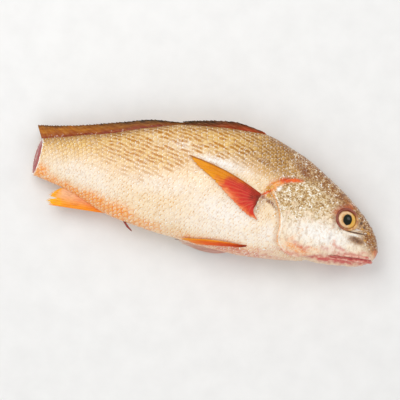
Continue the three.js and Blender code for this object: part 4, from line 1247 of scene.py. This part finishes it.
def eyeball(name, side, sizes):
    """Eye: a flattened ball with a domed front, set square to the skin."""
    under_rim = 1.04  # the ball runs a little under its rim
    radius, half_depth, proud = sizes.eye_radius * under_rim, 4.2 * MM, 1.7 * MM
    bpy.ops.object.select_all(action="DESELECT")
    bpy.ops.mesh.primitive_uv_sphere_add(segments=72, ring_count=44, radius=radius, calc_uvs=False)
    piece = eye_shaped(name, half_depth / radius)
    mesh = piece.data
    places = np.empty(3 * len(mesh.vertices))
    mesh.vertices.foreach_get("co", places)
    x, y, z = places.reshape(-1, 3).T / np.array([[EYE_LONG], [1], [1]])
    lean = np.arctan2(np.hypot(x, y), z * radius / half_depth) / np.pi / 2
    turn = np.arctan2(y, x)
    corners = np.empty(len(mesh.loops), int)
    mesh.loops.foreach_get("vertex_index", corners)
    for map_name, u, v in (
        ("Iris", 0.5 + 0.5 * x / radius, 0.5 + 0.5 * y / radius),
        ("OFBake", 0.5 + lean * np.cos(turn), 0.5 + lean * np.sin(turn)),
    ):
        layer = mesh.uv_layers.new(name=map_name)
        layer.uv.foreach_set("vector", np.stack([u, v], -1)[corners].ravel())
    mesh.transform(on_skin(*EYE_AT, side, proud / MM - half_depth / MM))
    return piece


def eye_rim(name, side, sizes):
    """Swollen ring of skin round an eye."""
    tube, flatness, sunk = 0.95 * MM, 0.65, 0.2
    bpy.ops.object.select_all(action="DESELECT")
    bpy.ops.mesh.primitive_torus_add(
        major_radius=sizes.eye_radius + 0.7 * tube, minor_radius=tube, major_segments=96, minor_segments=20,
        generate_uvs=False,
    )
    piece = eye_shaped(name, flatness)
    piece.data.transform(on_skin(*EYE_AT, side, -sunk))
    return piece


def rays_up(place, reach, rays, branch_from=0.42):
    """How far the rays of a fan stand up, from 0 to 1. Each ray branches in two on its way out."""
    phase = place * (rays - 1)
    off = np.abs(phase - np.round(phase))
    return mix(hump(off, 0.2), hump(off - 0.2, 0.12), eased(branch_from, branch_from + 0.25, reach))


def fin_form(surface, rays, thick, relief, rows=56, per_ray=14, web=0.05, uneven=0.04, notches=(), seed=1):
    """Fin as a thin closed plate about a surface: rays, the membrane between them and a frayed rim.

    web is how far the membrane falls short of the tips, uneven how much the rays differ in length, and
    notches are tears as (place, half width, depth). A place and a half width are shares of the fan, and
    the others are shares of the length of the rays.
    """
    place = np.linspace(0, 1, (rays - 1) * per_ray + 1)[None, :]
    reach = np.linspace(0, 1, rows)[:, None]
    draws = np.random.default_rng(seed).uniform(0, uneven, rays)
    draws[0] = draws[-1] = 0
    lengths = np.interp(place * (rays - 1), np.arange(rays), draws)
    threads = 0.5 - 0.5 * np.cos(2 * np.pi * rays * 3 * place + 2 * ripple(place * rays, 0 * place, 3, seed))
    threads = threads * eased(0, 0.06, place) * eased(1, 0.94, place)
    short = lengths + web * (1 - rays_up(place, 1, rays)) + 0.5 * web * threads
    for at, half_width, depth in notches:
        short = short + depth * hump(place - at, half_width)
    across, out = np.broadcast_arrays(place, reach * (1 - short * reach**2))
    middle = surface(across, out)

    # The plate thins to nothing over a small share of its rows and columns at each edge.
    to_rim = np.broadcast_arrays(16 * (1 - reach), 12 * reach, 22 * place, 22 * (1 - place))
    rim = np.clip(np.minimum.reduce(to_rim), 0, 1) ** 0.5
    plate = thick / 2 * mix(1, 0.3, reach**0.7) * 0.45
    half = rim * (plate + relief * rays_up(across, out, rays) * mix(1, 0.45, reach))
    offset = half[..., None] * np.array([0, 0, 1])
    fan = np.stack([across, reach + 0 * across], -1)
    return middle + offset, middle - offset, fan


def make_fin(name, surface, material, relief, slot, node, **form):
    """One fin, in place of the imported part's node."""
    front, back, fan = fin_form(surface, relief=relief, **form)
    points = doubled(front, back)
    span = np.linalg.norm(front[-1, 0] - front[0, 0])
    breadth = np.linalg.norm(np.diff(front[-1], axis=0), axis=-1).sum() * 2
    flat = spread_map(*grid_shares(points), breadth, span)
    maps = {"Rays": doubled(fan, fan), "OFBake": flat}
    return place_on(bent_grid(name, points, maps), material, node, slot=slot)


def midline_fin(x0, y0, x1, y1, reach, sway):
    """Places of a fin that stands in the fish's midline plane, between its root and its tips."""
    wave = 9
    x = mix(x0, x1, reach)
    return np.stack([x, mix(y0, y1, reach), midline(x) + sway * reach * (np.sin(x / wave) - 0.8)], -1)


def dorsal_fin(place, reach, first, last, edge, sweep, sway):
    """Folded dorsal fin, with its first ray and its last ray at those x."""
    root = mix(first, last, place)
    tip = root - along(sweep, place)
    least_height = 0.4
    tip_y = back_at(tip) + np.maximum(least_height, along(edge, tip))
    return midline_fin(root, back_at(root) - ROOT_IN, tip, tip_y, reach, sway)


def anal_fin(place, reach):
    root = mix(*ANAL_ROOT, place)
    tip_x, tip_y = along(ANAL_TIPS, place), along(ANAL_TIPS, place, 2)
    return midline_fin(root, belly_at(root) + ROOT_IN, tip_x, tip_y, reach, 0.6)


def flank_fin(place, reach, side, root, tips, bulge, dip, lift, rises, tuck=0, lowest=0):
    """Fin that lies on a flank: its rays fan out from a short root and stand off the skin from there.

    bulge is how far the first ray curves up, and tuck how far the last one curves back. The rays dip
    into the skin at the root and stand off it by lift at their share rises. lowest is the least height.
    """
    (x0, y0), (x1, y1) = root
    x = mix(mix(x0, x1, place), along(tips, place), reach) - tuck * arch(reach) * place**4
    y = mix(mix(y0, y1, place), along(tips, place, 2), reach) + bulge * arch(reach) * (1 - place)
    points = over_flank(x, y, side, mix(-dip, lift, np.clip(reach / rises, 0, 1)))
    points[..., 2] = np.maximum(points[..., 2], lowest)
    return points


def left_pectoral(place, reach):
    """The left pectoral fin, which the fish lies on."""
    return flank_fin(
        place, reach, -1, PECTORAL_ROOT, PECTORAL_TIPS,
        bulge=2.6, tuck=3, dip=0.6, lift=1.2, rises=0.33, lowest=0.65,
    )


def pelvic_fin_left(place, reach):
    (x0, y0), (x1, y1) = PELVIC_LEFT_ROOT
    spread, sag, sunk = 4.2, 3.4, 0.9
    root = over_flank(mix(x0, x1, place), mix(y0, y1, place), -1, -sunk)
    tips = np.stack([along(PELVIC_LEFT_TIPS, place, k) for k in (1, 2, 3)], -1)
    points = mix(root, tips, reach[..., None])
    points[..., 1] -= spread * arch(reach) * place
    points[..., 2] -= sag * arch(reach)
    return points


# ------------------------------------------------------------------------------------------------
# Operators
# ------------------------------------------------------------------------------------------------


class MakeBody(bpy.types.Operator):
    """Adds the trunk: scaled skin from the gills to the tail cut, the head, and the cut flesh"""

    bl_idname = "fish.make_body"
    bl_label = "Body"

    def execute(self, context):
        colours, sizes = context.scene.fish_colours, context.scene.fish_sizes
        points, maps, masks = trunk(sizes)
        skin_piece = bent_grid("skin", points, maps, masks)
        place_on(skin_piece, skin_material(colours), "body", slot="skin")
        flesh, flesh_maps = tail_flesh(points[len(TAIL_RIM)])
        flesh_piece = bent_grid("tail_flesh", flesh, flesh_maps)
        place_on(flesh_piece, flesh_material(colours), slot="skin")
        return {"FINISHED"}


class MakeGillCovers(bpy.types.Operator):
    """Adds a gill cover on each side of the head"""

    bl_idname = "fish.make_gill_covers"
    bl_label = "Gill Covers"

    def execute(self, context):
        sizes = context.scene.fish_sizes
        material = bpy.data.materials["Wet fish skin"]
        for name, side in (("gill_cover_right", 1), ("gill_cover_left", -1)):
            points, maps, masks = gill_cover(side, sizes)
            place_on(bent_grid(name, points, maps, masks), material, slot="skin")
        return {"FINISHED"}


class MakeMouth(bpy.types.Operator):
    """Adds the lips and the dark line between them"""

    bl_idname = "fish.make_mouth"
    bl_label = "Mouth"

    def execute(self, context):
        lip_radius = context.scene.fish_sizes.lip_radius / MM
        lips = moist_material("Fish lip skin", [
            (0.3, "C05048"), (0.43, "D27A6A"), (0.54, "E6AE98"), (0.66, "F2D6C2")], size=3.2)
        lower = moist_material("Fish lower lip skin", [
            (0.3, "C24C44"), (0.45, "D26C5E"), (0.58, "E4A490"), (0.7, "F0CCBC")], size=2.8)
        # The line between the lips: red lining, whose darker tones are painted shade of the slit.
        dark = moist_material("Mouth lining", [(0.3, "9C3236"), (0.5, "C04C48"), (0.7, "D88074")], size=3)
        share = np.linspace(0, 1, 150)
        for name, below, lift, radius, material in (
            ("upper_lip", -1.5, -0.6, lip_radius * mix(0.3, 1, arch(share) ** 0.8), lips),
            ("lower_lip", 1.5, -0.5, lip_radius * mix(0.3, 0.95, arch(share) ** 0.8), lower),
            ("mouth_gap", 0.05, 0.0, mix(0.25, 0.5, arch(share) ** 0.5), dark),
        ):
            lip = make_tube(name, mouth_path(below, lift), radius, girth=8.5, length=70)
            place_on(lip, material, slot="skin")
        return {"FINISHED"}


class MakeEyes(bpy.types.Operator):
    """Adds both eyes with the swollen rings of skin round them"""

    bl_idname = "fish.make_eyes"
    bl_label = "Eyes"

    def execute(self, context):
        sizes = context.scene.fish_sizes
        ball = eye_material()
        ring = eye_ring_material()
        for side_name, side in (("right", 1), ("left", -1)):
            eye = "eye_" + side_name
            place_on(eyeball(eye + "_ball", side, sizes), ball, eye, slot="eye")
            place_on(eye_rim("eye_rim_" + side_name, side, sizes), ring, slot="skin")
        return {"FINISHED"}


class MakeDorsalFins(bpy.types.Operator):
    """Adds the two fins of the back: spiny in front and soft behind"""

    bl_idname = "fish.make_dorsal_fins"
    bl_label = "Dorsal Fins"

    def execute(self, context):
        relief = context.scene.fish_sizes.ray_relief / MM
        spiny = fin_material(
            "Spiny dorsal fin", rays=11,
            first=[(0, "A62C10"), (0.45, "A43C0C"), (0.8, "6A3008"), (1, "3E2208")],
            last=[(0, "8E300C"), (0.35, "7E3C06"), (0.7, "402804"), (1, "1C1A0E")],
            edge=colour("A04018"), edge_width=0.03, ray_tint=colour("D89468"), ray_strength=0.1,
            streaking=(0.7, 8), streak_strength=0.4, glints=0.25,
        )
        make_fin(
            "spiny_dorsal",
            partial(dorsal_fin, first=33, last=-27, edge=SPINY_EDGE, sweep=SPINY_SWEEP, sway=0.2),
            spiny, relief, "dorsal_fins", node="dorsal_fin_spiny",
            rays=11, thick=2, rows=40, web=0.05, uneven=0.03,
        )
        soft = fin_material(
            "Soft dorsal fin", rays=21,
            first=[(0, "8E3A34"), (0.3, "8A3622"), (0.5, "864606"), (0.75, "643600"), (0.92, "281200"),
                   (1, "200E00")],
            last=[(0, "AE4A1C"), (0.16, "8A301E"), (0.34, "98480C"), (0.6, "AE6600"), (0.85, "925200"),
                  (1, "5A3000")],
            edge=colour("8A3420"), edge_width=0.02, ray_tint=colour("D8A048"), ray_strength=0.08,
            streaking=(0.7, 9), streak_strength=0.4, glints=0.7,
        )
        make_fin(
            "soft_dorsal",
            partial(dorsal_fin, first=-26, last=-127.5, edge=SOFT_EDGE, sweep=SOFT_SWEEP, sway=0.5),
            soft, 0.6 * relief, "dorsal_fins", node="dorsal_fin_soft",
            rays=21, thick=1.5, rows=40, web=0.05, uneven=0.02,
        )
        return {"FINISHED"}


class MakePectoralFins(bpy.types.Operator):
    """Adds the two large pectoral fins, folded back along the flanks"""

    bl_idname = "fish.make_pectoral_fins"
    bl_label = "Pectoral Fins"

    def execute(self, context):
        relief = context.scene.fish_sizes.ray_relief / MM
        material = fin_material(
            "Pectoral fin", rays=12,
            first=[(0, "6A2420"), (0.1, "A02E10"), (0.24, "BE4A08"), (0.4, "D07404"), (0.6, "DE8600"),
                   (1, "EC9A04")],
            last=[(0, "62201C"), (0.14, "A82A20"), (0.35, "CC362E"), (0.74, "D63E28"), (0.88, "E66A3A"),
                  (1, "F2A070")],
            edge=colour("A05C04"), edge_width=0.05, ray_tint=colour("F0A068"), ray_strength=0.16,
            spread=(-0.04, 0.2), gain=0.42,
        )
        right_pectoral = partial(
            flank_fin, side=1, root=PECTORAL_ROOT, tips=PECTORAL_TIPS,
            bulge=2.6, tuck=3, dip=0.4, lift=1.9, rises=0.25,
        )
        for name, surface in (("right", right_pectoral), ("left", left_pectoral)):
            make_fin(
                "pectoral_" + name, surface, material, relief, "red_fins", node="pectoral_fin_" + name,
                rays=12, thick=1.1, rows=80, web=0.035, uneven=0.02,
            )
        return {"FINISHED"}


class MakePelvicFins(bpy.types.Operator):
    """Adds the two pelvic fins, which lie back along the belly"""

    bl_idname = "fish.make_pelvic_fins"
    bl_label = "Pelvic Fins"

    def execute(self, context):
        relief = context.scene.fish_sizes.ray_relief / MM
        upper = fin_material(
            "Upper pelvic fin", rays=6,
            first=[(0, "B02A12"), (0.2, "DA5014"), (0.55, "F68C1C"), (1, "FAA830")],
            last=[(0, "9A2010"), (0.3, "D03A10"), (0.7, "EA5C1C"), (1, "F48C40")],
            edge=colour("FCB22C"), edge_width=0.2, ray_tint=colour("FAAC54"), ray_strength=0.2,
        )
        lower = fin_material(
            "Lower pelvic fin", rays=6,
            first=[(0, "D98A6A"), (0.4, "E8C0A8"), (1, "EED9CC")],
            last=[(0, "C87A68"), (0.4, "DDB0A4"), (1, "E6CCC4")],
            edge=colour("A89088"), edge_width=0.1, ray_tint=colour("F6E6DC"), ray_strength=0.3,
        )
        right = partial(
            flank_fin, side=1, root=PELVIC_ROOT, tips=PELVIC_TIPS, bulge=1.6, dip=0.1, lift=1.3, rises=0.14,
        )
        for name, surface, material in (("right", right, upper), ("left", pelvic_fin_left, lower)):
            make_fin(
                "pelvic_" + name, surface, material, relief, "orange_fins", node="pelvic_fin_" + name,
                rays=6, thick=1.3, rows=70, web=0.04, uneven=0.04,
            )
        return {"FINISHED"}


class MakeAnalFin(bpy.types.Operator):
    """Adds the anal fin, whose folded rays lie in two frayed bundles"""

    bl_idname = "fish.make_anal_fin"
    bl_label = "Anal Fin"

    def execute(self, context):
        relief = context.scene.fish_sizes.ray_relief / MM
        material = fin_material(
            "Anal fin", rays=9,
            first=[(0, "F06414"), (0.3, "F8880C"), (0.7, "FC9E08"), (0.88, "FFB206"), (1, "FFBC10")],
            last=[(0, "EE7828"), (0.2, "F2A87C"), (0.62, "F8BE90"), (0.82, "FEAA20"), (1, "FFB81C")],
            edge=colour("FA9008"), edge_width=0.12, ray_tint=colour("FCCB84"), ray_strength=0.25,
        )
        make_fin(
            "anal", anal_fin, material, relief, "orange_fins", node="anal_fin",
            rays=9, thick=1.4, rows=70, web=0.06, uneven=0.03, notches=((0.42, 0.05, 0.13),),
        )
        return {"FINISHED"}


class MakeVent(bpy.types.Operator):
    """Adds the small fleshy tube at the vent"""

    bl_idname = "fish.make_vent"
    bl_label = "Vent"

    def execute(self, context):
        material = moist_material("Vent skin", [(0.3, "5A1814"), (0.5, "8A2A22"), (0.7, "B04A3C")], size=2)
        height = midline(VENT[1][0]) + 1
        path = smooth_path([(x, y, height) for x, y in VENT], 60)
        share = np.linspace(0, 1, 60)
        root_radius, tip_radius = 0.95, 0.6
        lumpy = 1 + 0.1 * ripple(share * 10, 0 * share, 3)
        radii = mix(root_radius, tip_radius, share) * (1 - share**12) ** 0.5 * lumpy
        tube = make_tube("vent_tube", path, np.maximum(radii, 0), girth=5, length=12)
        place_on(tube, material, "vent_papilla", slot="red_fins")
        return {"FINISHED"}


class MakeStage(bpy.types.Operator):
    """Adds the floor of matt paper, the soft light and the camera"""

    bl_idname = "fish.make_stage"
    bl_label = "Stage"

    def execute(self, context):
        bpy.ops.object.select_all(action="DESELECT")
        bpy.ops.mesh.primitive_plane_add(size=4, location=(0, 0, -0.0002))
        floor = new_piece("floor")
        bpy.ops.object.transform_apply(location=True)
        add, finish = new_material("Matt white paper")
        place = (add("TexCoord"), "Object")
        # Three soft lumps to 50 mm.
        unevenness = add("TexNoise", {"Vector": place, "Scale": 3 / (50 * MM), "Detail": 4.0})
        tone = add("ValToRGB", {0: unevenness}, stops=[(0.3, "EAE9E7"), (0.7, "EFEEEC")])
        floor.data.materials.append(finish(tone, Roughness=0.8))
        floor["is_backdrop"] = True

        for name, place, size, power in (
            ("key", (-0.3, 0.26, 0.7), 0.6, 2.7),
            ("fill", (0.1, -0.5, 0.55), 0.8, 1.0),
            ("rim", (0.55, 0.4, 0.5), 0.25, 0.6),
        ):
            bpy.ops.object.light_add(type="AREA", location=place)
            lamp = bpy.context.object
            lamp.name = name
            lamp.data.shape = "DISK"
            lamp.data.size = size
            lamp.data.energy = power
            lamp.rotation_euler = (-Vector(place)).to_track_quat("-Z", "Y").to_euler()
        world = bpy.data.worlds.new("soft room")
        world.use_nodes = True
        room = world.node_tree.nodes["Background"].inputs
        room["Color"].default_value = colour("F6F7F8")
        room["Strength"].default_value = 0.66
        context.scene.world = world
        context.scene.view_settings.view_transform = "Standard"

        # The camera looks straight down, turned so that the fish's nose points down to the right.
        middle, height, turn = (-2.68 * MM, -12.91 * MM), 1.626, radians(15.14)
        bpy.ops.object.camera_add(location=(*middle, height), rotation=(0, 0, turn))
        camera = bpy.context.object
        camera.data.lens = 200
        camera.data.sensor_width = 36
        context.scene.camera = camera
        return {"FINISHED"}


PIECES = (
    MakeBody, MakeGillCovers, MakeMouth, MakeEyes, MakeDorsalFins, MakePectoralFins, MakePelvicFins,
    MakeAnalFin, MakeVent, MakeStage,
)


class FishPanel(bpy.types.Panel):
    """Lists the operators, and the sizes and colours they use"""

    bl_idname = "VIEW3D_PT_raw_fish"
    bl_label = "Raw Fish"
    bl_space_type = "VIEW_3D"
    bl_region_type = "UI"
    bl_category = "Raw Fish"

    def draw(self, context):
        for group in (context.scene.fish_sizes, context.scene.fish_colours):
            column = self.layout.column()
            for name in group.bl_rna.properties.keys():
                if name not in ("rna_type", "name"):
                    column.prop(group, name)
        for piece in PIECES:
            self.layout.operator(piece.bl_idname)


CLASSES = (FishSizes, FishColours, *PIECES, FishPanel)


def register():
    for item in CLASSES:
        bpy.utils.register_class(item)
    bpy.types.Scene.fish_sizes = bpy.props.PointerProperty(type=FishSizes)
    bpy.types.Scene.fish_colours = bpy.props.PointerProperty(type=FishColours)


def unregister():
    del bpy.types.Scene.fish_colours
    del bpy.types.Scene.fish_sizes
    for item in reversed(CLASSES):
        bpy.utils.unregister_class(item)


def main():
    register()
    for piece in PIECES:
        group, name = piece.bl_idname.split(".")
        getattr(getattr(bpy.ops, group), name)()
    boxes = {"cad": CAD_BOX, "visual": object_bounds()}
    {name: [list(corner) for corner in box] for name, box in boxes.items()}


if __name__ == "__main__":
    main()
